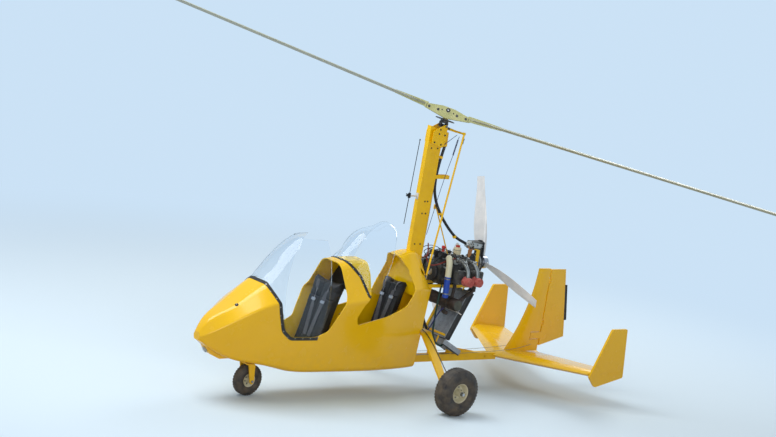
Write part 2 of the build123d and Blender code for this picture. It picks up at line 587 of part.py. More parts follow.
shaft_bore = Pos(nose_end, 0, PROP_Z) * Rot(0, 90, 0) * Cylinder(PROP_SHAFT_D / 2 + RUN_CLEARANCE, 60)
drive_block = box(case_rear - 30, case_rear + 120, -46, 46, PROP_Z + 130, PROP_Z + 208)
drive_post = box(case_rear + 50, case_rear + 96, -46, -22, PROP_Z + 60, PROP_Z + 132)
parts["gearbox"] = (gear_case + flange + drive_block + drive_post) - shaft_bore


def cylinder(x):
    jug = Pos(x, 0, CRANK_Z) * Rot(-90, 0, 0) * Pos(0, 0, 167) * Cylinder(48, 124)
    for i in range(fin_count):
        jug += Pos(x, 118 + i * fin_pitch, CRANK_Z) * Rot(90, 0, 0) * Cylinder(66, 4)
    head = box(x - 70, x + 70, 226, 284, CRANK_Z - 64, CRANK_Z + 64)
    return jug + fillet(head.edges().filter_by(Axis.Y), 16)


bank = cylinder(bore_xs[0]) + cylinder(bore_xs[1])
parts["cylinders"] = together(bank, mirror_y(bank))

mount = box(MAST_REAR_X, 4, -110, 110, 1030, 1070)
for y in (-90, 90):
    mount += box(4, case_rear - 20, y - 15, y + 15, 1035, 1065)
    mount += rod((100, y, 1045), (64, y * 0.6, LEG_ROOT_Z + thick + 4), 26)
parts["engine_mount"] = mount - parts["crankcase"] - clamps

# Induction: two cone filters and curved pipes on each side
filter_y = 296.0
filter_z = 1150.0
filter_xs = (340.0, 465.0)
filters = []
pipes = []
for x in filter_xs:
    cone = Pos(x, filter_y, filter_z) * Rot(-90, 0, 0) * Pos(0, 0, 42) * Cone(50, 42, 84)
    filters.append(cone)
    pipes.append(hose([
        (x, 120, CRANK_Z + 128), (x, 190, CRANK_Z + 150), (x, 262, CRANK_Z + 128), (x, 316, CRANK_Z + 76),
        (x, 328, filter_z + 20),
    ], 40) - cone)
parts["air_filters"] = together(*filters, *[mirror_y(f) for f in filters])
parts["intake_pipes"] = together(*pipes, *[mirror_y(p) for p in pipes])

# Exhaust: four down pipes into one transverse silencer
silencer_x = 300.0
silencer_z = 905.0
silencer = Pos(silencer_x, 0, silencer_z) * Rot(90, 0, 0) * Cylinder(60, 600)
silencer = fillet(silencer.edges(), 14)
exhaust = silencer
for sign in (-1, 1):
    for x, reach in zip(bore_xs, (190, 255)):
        exhaust += hose([
            (x, sign * reach, CRANK_Z - 50), (x + 6, sign * reach, CRANK_Z - 130),
            ((x + silencer_x) / 2, sign * reach, CRANK_Z - 195), (silencer_x, sign * reach, silencer_z),
        ], 34)
parts["exhaust"] = exhaust - parts["cylinders"]

# Cooling: radiator and oil cooler, bottle and hoses
RADIATOR_TILT = 64.5
radiator = Pos(478, 0, 765) * Rot(0, -RADIATOR_TILT, 0) * Box(520, 300, 56)
parts["radiator"] = radiator
cooler = Pos(512, 0, 424) * Rot(0, 27, 0) * Box(276, 200, 50)
parts["oil_cooler"] = cooler
stays = []
for y in (-60, 60):
    stays.append(rod((352, y, 560), (318, y * 0.4, keel_top), 16) - radiator)
    stays.append(rod((560, y, 1000), (560, y + y / 4, 1036), 16) - radiator)
cooler_foot = box(560, 640, -30, 30, keel_top, 380) - cooler
stays = [stay - keel for stay in stays]
parts["engine_mount"] = together(parts["engine_mount"] - keel, *stays, cooler_foot)
bottle = Pos(402, -50, CRANK_Z + 192) * Cylinder(38, 124)
bottle = fillet(bottle.edges().group_by(Axis.Z)[-1], 14) + Pos(402, -50, CRANK_Z + 266) * Cylinder(20, 24)
parts["coolant_bottle"] = bottle
parts["coolant_hose"] = hose([
    (240, -130, 1330), (196, -165, 1352), (188, -200, 1300), (192, -205, 1130), (200, -205, 965),
], 60)

# Keel braces
brace_half = 2.5
brace_outline = [(655, 340), (655, 385), (1120, 312), (1120, 275), (1040, 275)]
brace = side_slab(brace_outline, brace_half, 0, KEEL_SIDE / 2 + brace_half)
parts["keel_braces"] = together(
    brace - Pos(1050, 0, KEEL_Z) * Rot(90, 0, 0) * Cylinder(8, 200),
    mirror_y(brace) - Pos(1050, 0, KEEL_Z) * Rot(90, 0, 0) * Cylinder(8, 200),
)

# Tail: stabiliser with two tip fins, centre fin and rudder
STAB_SECTIONS = [
    (-TAIL_HALF_SPAN, 1690, 480, 60, 338), (0, 1130, 730, 76, 312), (TAIL_HALF_SPAN, 1690, 480, 60, 338),
]


def stab_faces(inset):
    faces = []
    for y, lead, chord, thickness, z in STAB_SECTIONS:
        plane = Plane(origin=(lead + inset * 3, y, z), x_dir=(1, 0, 0), z_dir=(0, -1, 0))
        faces.append(plane * airfoil(chord - inset * 14, thickness - 2 * inset))
    return faces


stab = loft(stab_faces(0), ruled=True) - loft(stab_faces(TAIL_WALL), ruled=True)
keel_pocket = box(
    1000, KEEL_REAR_X + FIT_GAP, -KEEL_SIDE / 2 - FIT_GAP, KEEL_SIDE / 2 + FIT_GAP,
    keel_bottom - FIT_GAP, keel_top + FIT_GAP,
)
parts["stabiliser"] = stab - keel_pocket
tip_fin_outline = [(1699, 311), (1918, 803), (2130, 804), (2191, 294), (1799, 206)]
tip_fins = []
for sign in (-1, 1):
    middle = sign * (TAIL_HALF_SPAN + TIP_FIN_THICKNESS / 2)
    tip_fins.append(side_slab(tip_fin_outline, TIP_FIN_THICKNESS / 2, [20, 30, 20, 20, 30], middle))
parts["tip_fins"] = together(*tip_fins)

# Columns: z, leading edge x, chord, thickness
FIN_SECTIONS = [(FIN_BASE_Z, 1330, 870, FIN_THICKNESS), (560, 1462, 700, 40), (FIN_TOP_Z, 1636, 396, 26)]
fin_faces = []
for z, lead, chord, thickness in FIN_SECTIONS:
    fin_plane = Plane(origin=(lead, 0, z), x_dir=(1, 0, 0), z_dir=(0, 0, 1))
    fin_faces.append(fin_plane * airfoil(chord, thickness))
full_fin = loft(fin_faces)
fin_rear = FIN_HINGE_X - HINGE_HALF_GAP
rudder_front = FIN_HINGE_X + HINGE_HALF_GAP
fin_region = side_slab([(1200, 300), (fin_rear, 300), (fin_rear, 1300), (1200, 1300)], 60)
rudder_outline = [(rudder_front, 392), (2166, 474), (2300, 474), (2300, 1196), (rudder_front, 1196)]
rudder_region = side_slab(rudder_outline, 60)
stab_cover = loft(stab_faces(0), ruled=True)
parts["centre_fin"] = (full_fin & fin_region) - stab_cover
horn_window = side_slab([(1664, 458), (1664, 540), (FIN_HINGE_X + 20, 540), (FIN_HINGE_X + 20, 458)], 60)
horn_region = side_slab([(1671, 465), (1671, 533), (rudder_front + 1, 533), (rudder_front + 1, 465)], 60)
hinge_pin_r = 4.0
hinge_zs = (640.0, 1080.0)
rudder = (full_fin & rudder_region) + (full_fin & horn_region)
fin = parts["centre_fin"] - horn_window
hinge_lugs = []
for z in hinge_zs:
    rudder -= box(FIN_HINGE_X - 60, FIN_HINGE_X + 22, -30, 30, z - 30, z + 30)
    knuckle = box(FIN_HINGE_X, FIN_HINGE_X + 22, -7, 7, z - 8, z + 8)
    knuckle += Pos(FIN_HINGE_X, 0, z) * Cylinder(7, 16)
    rudder += knuckle - Pos(FIN_HINGE_X, 0, z) * Cylinder(hinge_pin_r + RUN_CLEARANCE, 60)
    lug = box(fin_rear, FIN_HINGE_X + 6, -6, 6, z + 10, z + 18)
    lug += box(fin_rear, FIN_HINGE_X + 6, -6, 6, z - 18, z - 10)
    lug += Pos(FIN_HINGE_X, 0, z) * Cylinder(hinge_pin_r, 36)
    hinge_lugs.append(lug)
parts["centre_fin"] = fin + hinge_lugs[0] + hinge_lugs[1]
parts["rudder"] = rudder
parts["trim_tab"] = side_slab([(2052, 1030), (2098, 1028), (2176, 655), (2128, 647)], 1.5) - full_fin

# Cockpit furniture
seat_half = 185.0
front_cushion_outline = [(-1670, 425), (-1665, 505), (-1300, 460), (-1285, 365), (-1440, 365)]
front_back_outline = [(-1290, 470), (-1215, 425), (-1060, 1060), (-1100, 1130), (-1150, 1090)]
front_cushion = side_slab(front_cushion_outline, seat_half, 25)
front_back = side_slab(front_back_outline, seat_half + 15, 25)
rear_cushion = side_slab([(-900, 440), (-890, 560), (-450, 520), (-440, 420), (-860, 420)], seat_half, 25)
rear_back = side_slab([(-440, 540), (-365, 470), (-240, 1080), (-270, 1120), (-320, 1110)], 150, 25)
front_base = box(-1395, -1300, -150, 150, keel_top, 365)
rear_base = box(-840, -460, -170, 170, keel_top, 420)
parts["seat_bases"] = Compound(children=[front_base.solid(), rear_base.solid()])
parts["seat_cushions"] = together(front_cushion, rear_cushion)
parts["seat_backs"] = together(front_back, rear_back)
front_panel = shell_inner & box(-1974, -1974 + PANEL_THICKNESS, -400, 400, 790, 1200)
rear_panel = shell_inner & box(-870, -870 + PANEL_THICKNESS, -400, 400, 985, 1300)
parts["instrument_panels"] = together(front_panel, rear_panel)
sticks = []
for x, low, high in ((-1702, 428, 720), (-932, keel_top + 0.5, 740)):
    stick = rod((x, 0, low), (x + 20, 0, high), 22)
    stick += rod((x + 20, 0, high - 90), (x + 26, 0, high + 20), 34)
    sticks.append(stick)
parts["control_sticks"] = together(*sticks)
pedal_bar = rod((-1862, -160, 372), (-1862, 160, 372), 20)
for y in (-118, 118):
    pedal_bar += rod((-1862, y, 372), (-1880, y, 500), 14) + Pos(-1884, y, 520) * Box(14, 84, 90)
parts["rudder_pedals"] = pedal_bar & shell_inner

# Chin lamp housing under the nose
lamp_outline = [(-2462, 540), (-2462, 500), (-2412, 422), (-2290, 368), (-2170, 372), (-2170, 440)]
lamp = side_slab(lamp_outline, 46, [0, 14, 40, 60, 0, 0])
parts["chin_lamp"] = lamp - shell_outer

# Antenna on its bracket before the mast
antenna_stay = rod((-340, 0, 1915), (mast_front_x, 0, 1915), 14)
parts["antenna"] = rod((-290, 0, 2461), (-310, 0, 1640), 7) + antenna_stay

# Flexible drive shaft from the engine to the rotor head
FLEX_POINTS = [
    (40, 0, 2410), (10, 0, 2260), (-4, 0, 2110), (8, 0, 1970), (60, 0, 1850), (150, 0, 1730),
    (270, 0, 1610), (400, 0, 1510), (560, 0, 1450),
]
parts["flex_shaft"] = hose(FLEX_POINTS, 28)

# Guide bracket on the mast, shaft clamp with its stay, and the drive unit at the head
guide = box(MAST_REAR_X, 150, -24, -20, 2094, 2130) + box(MAST_REAR_X, 150, 20, 24, 2094, 2130)
guide += box(140, 150, -24, 24, 2094, 2130)
stay = rod((86, 22, 1812), (370, 22, CRANK_Z + 128), 12) + box(60, 104, 14, 28, 1790, 1834)
parts["shaft_bracket"] = together(guide, stay - parts["crankcase"])
drive = rod((40, 0, 2410), (34, 0, 2545), 44)
drive += box(MAST_REAR_X, 40, -8, 8, 2470, 2500)
parts["head_drive"] = drive - parts["flex_shaft"]

for name, shape in parts.items():
    solids = shape.solids()
    whole = solids[0] if len(solids) == 1 else Compound(children=list(solids))
    whole = whole.moved(Location((ROW_SHIFT_X, 0, 0)))
    export_step(whole, f"parts/{name}.step")
    print(name, len(solids), round(sum(s.volume for s in solids) / 1e9, 5))
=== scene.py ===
# %% [markdown]
# # An open tandem gyrocopter, dressed in Blender
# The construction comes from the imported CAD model, which is loaded as a fixed frame.
# Each cell below adds one finish or one set of pieces around it, always in metres and
# along the frame's own axes: +X aft, +Y to starboard, +Z up.

import json
import math

import bmesh
import bpy
from mathutils import Matrix, Vector
from mathutils.bvhtree import BVHTree


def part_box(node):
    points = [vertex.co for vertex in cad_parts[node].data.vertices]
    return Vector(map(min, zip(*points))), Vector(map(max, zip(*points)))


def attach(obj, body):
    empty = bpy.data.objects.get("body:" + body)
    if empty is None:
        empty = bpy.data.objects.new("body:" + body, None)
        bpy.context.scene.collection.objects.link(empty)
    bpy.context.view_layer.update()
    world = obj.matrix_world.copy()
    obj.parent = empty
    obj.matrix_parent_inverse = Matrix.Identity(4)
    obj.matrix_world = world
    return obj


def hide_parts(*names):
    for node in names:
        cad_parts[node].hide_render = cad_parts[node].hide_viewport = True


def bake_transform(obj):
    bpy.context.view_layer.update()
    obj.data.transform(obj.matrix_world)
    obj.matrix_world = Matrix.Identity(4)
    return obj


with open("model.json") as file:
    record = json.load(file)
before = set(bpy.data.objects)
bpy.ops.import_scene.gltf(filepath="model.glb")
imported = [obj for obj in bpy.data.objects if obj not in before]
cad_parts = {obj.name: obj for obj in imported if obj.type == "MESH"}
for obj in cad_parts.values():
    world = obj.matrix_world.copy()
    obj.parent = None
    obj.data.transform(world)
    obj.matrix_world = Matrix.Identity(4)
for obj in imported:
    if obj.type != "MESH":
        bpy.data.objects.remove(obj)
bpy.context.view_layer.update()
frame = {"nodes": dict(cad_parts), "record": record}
scene = bpy.context.scene
scene.view_settings.view_transform = "Standard"
nodes = frame["nodes"]
slot_of = {row["node"]: row["material_slot"] for row in frame["record"]["subparts"]}

# %% [markdown]
# ## Camera
# The photograph looks at the machine from ahead of its port side and a little above, through a
# long lens, with the camera rolled a little. A camera matrix is built here from three unit
# vectors, so the roll is kept without any Euler angles to untangle. The drawing's zero lies
# under the rotor hub, and the frame's lies under the middle of the whole box, so every place
# taken from the drawing is moved by the same small step.

# %% Camera
DRAWING_TO_FRAME = Vector((-0.0493, 0, 0))
CAMERA_PLACE = Vector((-13.655, -14.543, 4.967)) + DRAWING_TO_FRAME
CAMERA_RIGHT = Vector((0.75016904, -0.63955174, 0.16798804))
CAMERA_UP = Vector((-0.01740826, 0.23485829, 0.97187373))
FOCAL_PIXELS = 2100.0
PHOTO_WIDTH = 776.0
SENSOR_MM = 36.0

camera_data = bpy.data.cameras.new("camera")
camera_data.sensor_width = SENSOR_MM
camera_data.lens = FOCAL_PIXELS / PHOTO_WIDTH * SENSOR_MM
camera_data.clip_end = 200.0
camera = bpy.data.objects.new("camera", camera_data)
scene.collection.objects.link(camera)
look_back = CAMERA_RIGHT.cross(CAMERA_UP).normalized()
camera_turn = Matrix((CAMERA_RIGHT, CAMERA_UP, look_back)).transposed()
camera.matrix_world = Matrix.Translation(CAMERA_PLACE) @ camera_turn.to_4x4()
scene.camera = camera
print("camera: lens", round(camera_data.lens, 1), "mm")

# %% [markdown]
# ## Node trees
# Shader trees and geometry trees are written the same way here: one call adds a node, sets its
# properties and gives each of its inputs a value or another node's output.


# %% Node trees
def put(tree, kind, inputs=None, **properties):
    """Adds a node. inputs maps a socket's name or number to a value, or to an output to link."""
    node = tree.nodes.new(kind)
    for name, value in properties.items():
        setattr(node, name, value)
    for key, value in (inputs or {}).items():
        if isinstance(value, bpy.types.NodeSocket):
            tree.links.new(value, node.inputs[key])
        else:
            node.inputs[key].default_value = value
    return node


def fresh_tree(owner, end_kind="ShaderNodeOutputMaterial"):
    """Empties a material's or world's tree and gives it an end node."""
    owner.use_nodes = True
    tree = owner.node_tree
    tree.nodes.clear()
    return tree, tree.nodes.new(end_kind)


print("one call per node")

# %% [markdown]
# ## Stage and light
# A pale floor fades into a pale sky of the same colour, so no horizon cuts the picture. The
# floor is a diffuse disc near the machine, where it takes the shadow, and turns into the plain
# backdrop colour further out. Light that it throws back on the machine is a warm grey, as from
# dry ground, so that the shell's undersides stay yellow. One large lamp is the sun's side, a
# weaker one fills from the camera, and one from behind draws the edges. Large lamps give
# gelcoat its long soft reflections, which is what makes a glossy shell read as glossy.

# %% World
BACKDROP = (0.60, 0.76, 0.92, 1)
SKY_LIGHT = (1.0, 0.96, 0.90, 1)
SKY_STRENGTH = 0.42
FLOOR_COLOUR = (0.66, 0.80, 0.92, 1)
FLOOR_BOUNCE = (0.50, 0.44, 0.36, 1)
FLOOR_RADIUS = 60
FLOOR_FADE_START = 3.2
FLOOR_FADE_END = 9.0


def make_world():
    """The backdrop colour where it is seen, and a warm sky where it only lights."""
    scene.world = bpy.data.worlds.new("studio")
    tree, out = fresh_tree(scene.world, "ShaderNodeOutputWorld")
    path = put(tree, "ShaderNodeLightPath").outputs
    seen = path["Is Camera Ray"]
    for ray in ("Is Glossy Ray", "Is Transmission Ray"):
        seen = put(tree, "ShaderNodeMath", {0: seen, 1: path[ray]}, operation="MAXIMUM").outputs[0]
    lit = put(tree, "ShaderNodeBackground", {"Color": SKY_LIGHT, "Strength": SKY_STRENGTH})
    backdrop = put(tree, "ShaderNodeBackground", {"Color": BACKDROP, "Strength": 1.0})
    mix = put(tree, "ShaderNodeMixShader", {0: seen, 1: lit.outputs[0], 2: backdrop.outputs[0]})
    tree.links.new(mix.outputs[0], out.inputs["Surface"])


make_world()
print("world: backdrop and sky")

# %% [markdown]
# The floor's disc is large, so its edge never shows. Its shader asks what kind of ray has hit
# it, which lets it look pale to the camera and still throw warm light on the machine.


# %% Floor
def make_floor():
    bpy.ops.mesh.primitive_circle_add(vertices=96, radius=FLOOR_RADIUS, fill_type="NGON", location=(0, 0, 0))
    floor = bpy.context.object
    floor.name = "studio_floor"
    material = bpy.data.materials.new("floor_pale")
    tree, out = fresh_tree(material)
    paint = {"Base Color": FLOOR_COLOUR, "Roughness": 0.9, "Specular IOR Level": 0.1}
    surface = put(tree, "ShaderNodeBsdfPrincipled", paint)
    bounce = put(tree, "ShaderNodeBsdfDiffuse", {"Color": FLOOR_BOUNCE})
    light_ray = put(tree, "ShaderNodeLightPath").outputs["Is Diffuse Ray"]
    near = put(tree, "ShaderNodeMixShader", {0: light_ray, 1: surface.outputs[0], 2: bounce.outputs[0]})
    far = put(tree, "ShaderNodeEmission", {"Color": BACKDROP})
    where = put(tree, "ShaderNodeTexCoord").outputs["Object"]
    reach = put(tree, "ShaderNodeVectorMath", {0: where}, operation="LENGTH").outputs["Value"]
    span = {"Value": reach, "From Min": FLOOR_FADE_START, "From Max": FLOOR_FADE_END}
    fade = put(tree, "ShaderNodeMapRange", span, interpolation_type="SMOOTHSTEP").outputs["Result"]
    mix = put(tree, "ShaderNodeMixShader", {0: fade, 1: near.outputs[0], 2: far.outputs[0]})
    tree.links.new(mix.outputs[0], out.inputs["Surface"])
    floor.data.materials.append(material)


make_floor()
print("floor: radius", FLOOR_RADIUS, "m")

# %% [markdown]
# The lamps are areas of several metres, because a soft box of that size is what draws a long
# even highlight along a glossy curved shell. Each one is turned to face its target.

# %% Lamps
# Columns: name, place, target, width, height, watts
LAMPS = [
    ("key", (-5.0, 2.0, 9.0), (-0.6, 0, 0.9), 6, 6, 640),
    ("fill", (-8.0, -10.0, 3.5), (-0.5, 0, 1.0), 7, 5, 400),
    ("rim", (8.0, 3.0, 6.5), (0, 0, 1.2), 4, 4, 320),
]
for name, place, target, width, height, watts in LAMPS:
    lamp_data = bpy.data.lights.new(name, "AREA")
    lamp_data.shape = "RECTANGLE"
    lamp_data.size = width
    lamp_data.size_y = height
    lamp_data.energy = watts
    lamp = bpy.data.objects.new(name, lamp_data)
    scene.collection.objects.link(lamp)
    lamp.location = place
    lamp.rotation_mode = "QUATERNION"
    lamp.rotation_quaternion = (Vector(target) - Vector(place)).to_track_quat("-Z", "Y")
print("stage:", len(LAMPS), "lamps")

# %% [markdown]
# ## Finishes
# Every finish comes from one builder: a base colour that drifts between two tones over large
# patches, a roughness that drifts at another scale, and a fine bump. All patterns read
# Object coordinates, which are metres here, so a grain of 400 is 2.5 mm from speck to speck.
# Dust gathers on the machine's low, upward surfaces, so a third tone comes in near the ground.

# %% Finish builder
DUST_TONE = (0.30, 0.24, 0.16)
DUST_NONE_ABOVE = 0.75
DUST_FULL_BELOW = 0.15
ROUGHNESS_PATCH_SHARE = 7.3


def drift(tree, coords, scale, detail, low, high):
    """A noise drawn out between two levels."""
    wanted = {"Scale": scale, "Detail": detail, "Vector": coords}
    noise = put(tree, "ShaderNodeTexNoise", wanted).outputs["Fac"]
    span = {"Value": noise, "From Min": 0.3, "From Max": 0.7, "To Min": low, "To Max": high}
    return put(tree, "ShaderNodeMapRange", span).outputs["Result"]


def mixed(tree, factor, first, second):
    """A colour between first, a colour or a socket, and second, a colour."""
    if isinstance(first, tuple):
        first = (*first, 1)
    return put(tree, "ShaderNodeMix", {0: factor, 6: first, 7: (*second, 1)}, data_type="RGBA").outputs[2]


def height_band(tree, where, low, high, axis="Z"):
    """0 at low and 1 at high, along one of the object's axes."""
    split = put(tree, "ShaderNodeSeparateXYZ", {0: where})
    span = {"Value": split.outputs[axis], "From Min": low, "From Max": high}
    return put(tree, "ShaderNodeMapRange", span, interpolation_type="SMOOTHSTEP").outputs["Result"]


def finish(
    name, colour, worn, rough, grain, patch, metal=0.0, coat=0.0, sheen=0.0, dust=0.0,
    stretch=(1, 1, 1), band=None,
):
    """colour and worn are the two ends of the drift, rough is (low, high), grain is (scale,
    strength, depth in metres), dust is how much road dust lies low down, and band is
    (axis, from, to, second colour) for a piece in two colours."""
    material = bpy.data.materials.new(name)
    tree, out = fresh_tree(material)
    where = put(tree, "ShaderNodeTexCoord").outputs["Object"]
    coords = put(tree, "ShaderNodeMapping", {"Vector": where, "Scale": stretch}).outputs["Vector"]
    tone = mixed(tree, drift(tree, coords, patch, 6.0, 0.0, 1.0), colour, worn)
    if band:
        axis, start, end, second_colour = band
        tone = mixed(tree, height_band(tree, where, start, end, axis), tone, second_colour)
    if dust:
        low_down = height_band(tree, where, DUST_NONE_ABOVE, DUST_FULL_BELOW)
        speckle = drift(tree, where, 16.0, 8.0, 0.0, dust)
        amount = put(tree, "ShaderNodeMath", {0: low_down, 1: speckle}, operation="MULTIPLY")
        tone = mixed(tree, amount.outputs[0], tone, DUST_TONE)
    grain_scale, strength, depth = grain
    fine = put(tree, "ShaderNodeTexNoise", {"Scale": grain_scale, "Detail": 3.0, "Vector": coords})
    bump = {"Strength": strength, "Distance": depth, "Height": fine.outputs["Fac"]}
    surface = put(tree, "ShaderNodeBsdfPrincipled", {
        "Metallic": metal, "Coat Weight": coat, "Coat Roughness": 0.05, "Sheen Weight": sheen,
        "Specular IOR Level": 0.35, "Base Color": tone,
        "Roughness": drift(tree, coords, patch * ROUGHNESS_PATCH_SHARE, 4.0, *rough),
        "Normal": put(tree, "ShaderNodeBump", bump).outputs["Normal"],
    })
    tree.links.new(surface.outputs[0], out.inputs["Surface"])
    return material


print("finish builder ready")

# %% [markdown]
# The yellow of the shell and tail is a thick glossy gelcoat. The frame's yellow is a thinner
# powder coat, a little rougher and less even. Both are the same hue on the real machine, which
# is strong enough to need almost no blue at all. Rubber, metal, plastic and leather follow,
# each with the grain of its own making: sand-cast alloy is coarse and dull, a lathe-turned axle
# is brushed round its length, and a gauze air filter is fuzzy and faded with dust.

# %% Table of finishes
YELLOW = (0.92, 0.575, 0.001)
YELLOW_WORN = (0.84, 0.50, 0.001)
ELBOW_CREAM = ("Z", 1.168, 1.172, (0.62, 0.62, 0.46))
HEAD_YELLOW = ("X", 0.004, 0.012, (0.80, 0.50, 0.01))
# Columns: name, colour, worn colour, roughness, grain, patch scale, what else it has
FINISHES = [
    ("gelcoat", YELLOW, YELLOW_WORN, (0.17, 0.30), (240, 0.03, 0.0008), 1.1, {"coat": 0.2, "dust": 0.10}),
    ("powder", YELLOW, YELLOW_WORN, (0.30, 0.46), (900, 0.12, 0.0004), 9, {"dust": 0.16}),
    ("strip_rubber", (0.012, 0.012, 0.013), (0.03, 0.03, 0.032), (0.42, 0.6), (700, 0.15, 0.0005), 14, {}),
    ("tyre_rubber", (0.017, 0.018, 0.022), (0.05, 0.052, 0.056), (0.6, 0.85), (520, 0.3, 0.0006), 11,
     {"dust": 0.3}),
    ("rim_paint", (0.62, 0.60, 0.44), (0.50, 0.48, 0.34), (0.28, 0.46), (600, 0.1, 0.0005), 24,
     {"coat": 0.2, "dust": 0.12}),
    ("bare_steel", (0.46, 0.46, 0.47), (0.34, 0.34, 0.36), (0.22, 0.42), (300, 0.12, 0.0003), 30,
     {"metal": 1.0, "stretch": (1, 6, 1)}),
    ("dark_steel", (0.03, 0.03, 0.034), (0.085, 0.08, 0.075), (0.3, 0.52), (500, 0.18, 0.0004), 26,
     {"metal": 0.6}),
    ("bolt_steel", (0.30, 0.29, 0.25), (0.16, 0.155, 0.14), (0.28, 0.5), (900, 0.1, 0.0002), 60,
     {"metal": 0.9}),
    ("hub_alloy", (0.35, 0.35, 0.14), (0.42, 0.41, 0.19), (0.3, 0.46), (700, 0.02, 0.0002), 18,
     {"metal": 0.25}),
    ("blade_skin", (0.38, 0.39, 0.27), (0.32, 0.33, 0.23), (0.34, 0.46), (90, 0.008, 0.0002), 4, {}),
    ("prop_skin", (0.78, 0.80, 0.82), (0.66, 0.70, 0.74), (0.18, 0.30), (300, 0.05, 0.0005), 12,
     {"coat": 0.5}),
    ("casting", (0.15, 0.15, 0.145), (0.05, 0.05, 0.048), (0.4, 0.66), (420, 0.5, 0.0012), 22,
     {"metal": 0.6}),
    ("bright_alloy", (0.55, 0.55, 0.52), (0.38, 0.38, 0.36), (0.28, 0.5), (500, 0.15, 0.0004), 28,
     {"metal": 0.85}),
    ("pipe_alloy", (0.30, 0.31, 0.30), (0.16, 0.17, 0.165), (0.34, 0.55), (500, 0.2, 0.0006), 22,
     {"metal": 0.75}),
    ("filter_gauze", (0.34, 0.035, 0.035), (0.50, 0.15, 0.13), (0.62, 0.84), (900, 0.8, 0.0012), 40,
     {"sheen": 0.2}),
    ("exhaust_black", (0.018, 0.017, 0.016), (0.07, 0.05, 0.04), (0.50, 0.78), (360, 0.3, 0.0008), 20,
     {"metal": 0.3}),
    ("silencer_olive", (0.10, 0.105, 0.08), (0.06, 0.06, 0.05), (0.5, 0.7), (360, 0.3, 0.0006), 22,
     {"metal": 0.4}),
    ("core_alloy", (0.40, 0.41, 0.43), (0.27, 0.28, 0.29), (0.35, 0.55), (800, 0.3, 0.0006), 25,
     {"metal": 0.8}),
    ("bottle_plastic", (0.70, 0.64, 0.44), (0.58, 0.52, 0.34), (0.36, 0.5), (350, 0.15, 0.0006), 30, {}),
    ("two_tone_hose", (0.008, 0.045, 0.36), (0.015, 0.075, 0.46), (0.3, 0.46), (600, 0.12, 0.0004), 20,
     {"band": ELBOW_CREAM}),
    ("leather", (0.007, 0.007, 0.0075), (0.018, 0.018, 0.019), (0.46, 0.64), (330, 0.5, 0.0012), 9, {}),
    ("webbing", (0.07, 0.072, 0.08), (0.11, 0.112, 0.12), (0.6, 0.8), (1400, 0.8, 0.0008), 50,
     {"sheen": 0.25}),
    ("cable_rubber", (0.010, 0.010, 0.011), (0.022, 0.022, 0.023), (0.34, 0.5), (650, 0.15, 0.0004), 30, {}),
    ("black_plastic", (0.014, 0.014, 0.016), (0.03, 0.03, 0.032), (0.46, 0.64), (800, 0.4, 0.0005), 14, {}),
    ("white_plastic", (0.72, 0.72, 0.70), (0.6, 0.6, 0.58), (0.36, 0.52), (800, 0.2, 0.0004), 20, {}),
    ("control_paint", (0.015, 0.015, 0.016), (0.04, 0.04, 0.04), (0.30, 0.5), (500, 0.2, 0.0004), 20, {}),
    ("red_cap", (0.55, 0.02, 0.015), (0.42, 0.03, 0.02), (0.3, 0.5), (600, 0.15, 0.0004), 30, {}),
    ("maroon_hose", (0.16, 0.02, 0.018), (0.24, 0.05, 0.04), (0.4, 0.6), (600, 0.2, 0.0005), 30, {}),
    ("copper_brown", (0.34, 0.13, 0.04), (0.46, 0.22, 0.09), (0.36, 0.56), (500, 0.2, 0.0005), 24,
     {"metal": 0.5}),
    ("torque_paint", (0.02, 0.02, 0.022), (0.06, 0.055, 0.05), (0.34, 0.52), (600, 0.15, 0.0004), 24,
     {"metal": 0.2, "band": HEAD_YELLOW}),
    ("tower_olive", (0.50, 0.38, 0.02), (0.40, 0.32, 0.03), (0.3, 0.46), (700, 0.1, 0.0003), 26,
     {"metal": 0.2}),
    ("green_hose", (0.006, 0.035, 0.028), (0.012, 0.055, 0.045), (0.3, 0.48), (600, 0.12, 0.0004), 22, {}),
    ("navy_cord", (0.012, 0.014, 0.09), (0.03, 0.035, 0.14), (0.4, 0.6), (900, 0.3, 0.0004), 40, {}),
    ("gauge_face", (0.008, 0.008, 0.008), (0.02, 0.02, 0.02), (0.5, 0.7), (900, 0.1, 0.0002), 60, {}),
    ("gauge_mark", (0.8, 0.8, 0.76), (0.7, 0.7, 0.66), (0.5, 0.7), (900, 0.1, 0.0002), 60, {}),
]
finishes = {row[0]: finish(*row[:6], **row[6]) for row in FINISHES}
print("finishes:", len(finishes))

# %% [markdown]
# The screens are blown polycarbonate. A transmission of 1 and a low index of refraction keep
# the thin wall clear, and a very faint haze shows where it has been wiped many times.


# %% Clear screens
def clear_finish(name, tint, index, haze):
    material = bpy.data.materials.new(name)
    tree, out = fresh_tree(material)
    where = put(tree, "ShaderNodeTexCoord").outputs["Object"]
    surface = put(tree, "ShaderNodeBsdfPrincipled", {
        "Base Color": (*tint, 1), "Transmission Weight": 1.0, "IOR": index,
        "Roughness": drift(tree, where, 14.0, 5.0, 0.0, haze),
    })
    tree.links.new(surface.outputs[0], out.inputs["Surface"])
    return material


finishes["polycarbonate"] = clear_finish("polycarbonate", (0.94, 0.97, 1.0), 1.25, 0.05)
finishes["lens_clear"] = clear_finish("lens_clear", (0.96, 0.98, 1.0), 1.45, 0.03)
print("clear: screens and lamp lens")

# %% [markdown]
# ## Finishes on the carried-over parts
# A CAD node whose shape is right keeps its mesh and gets a finish. The table goes by the
# record's material slots, and a few nodes whose slot holds pieces of several colours are
# named one by one.

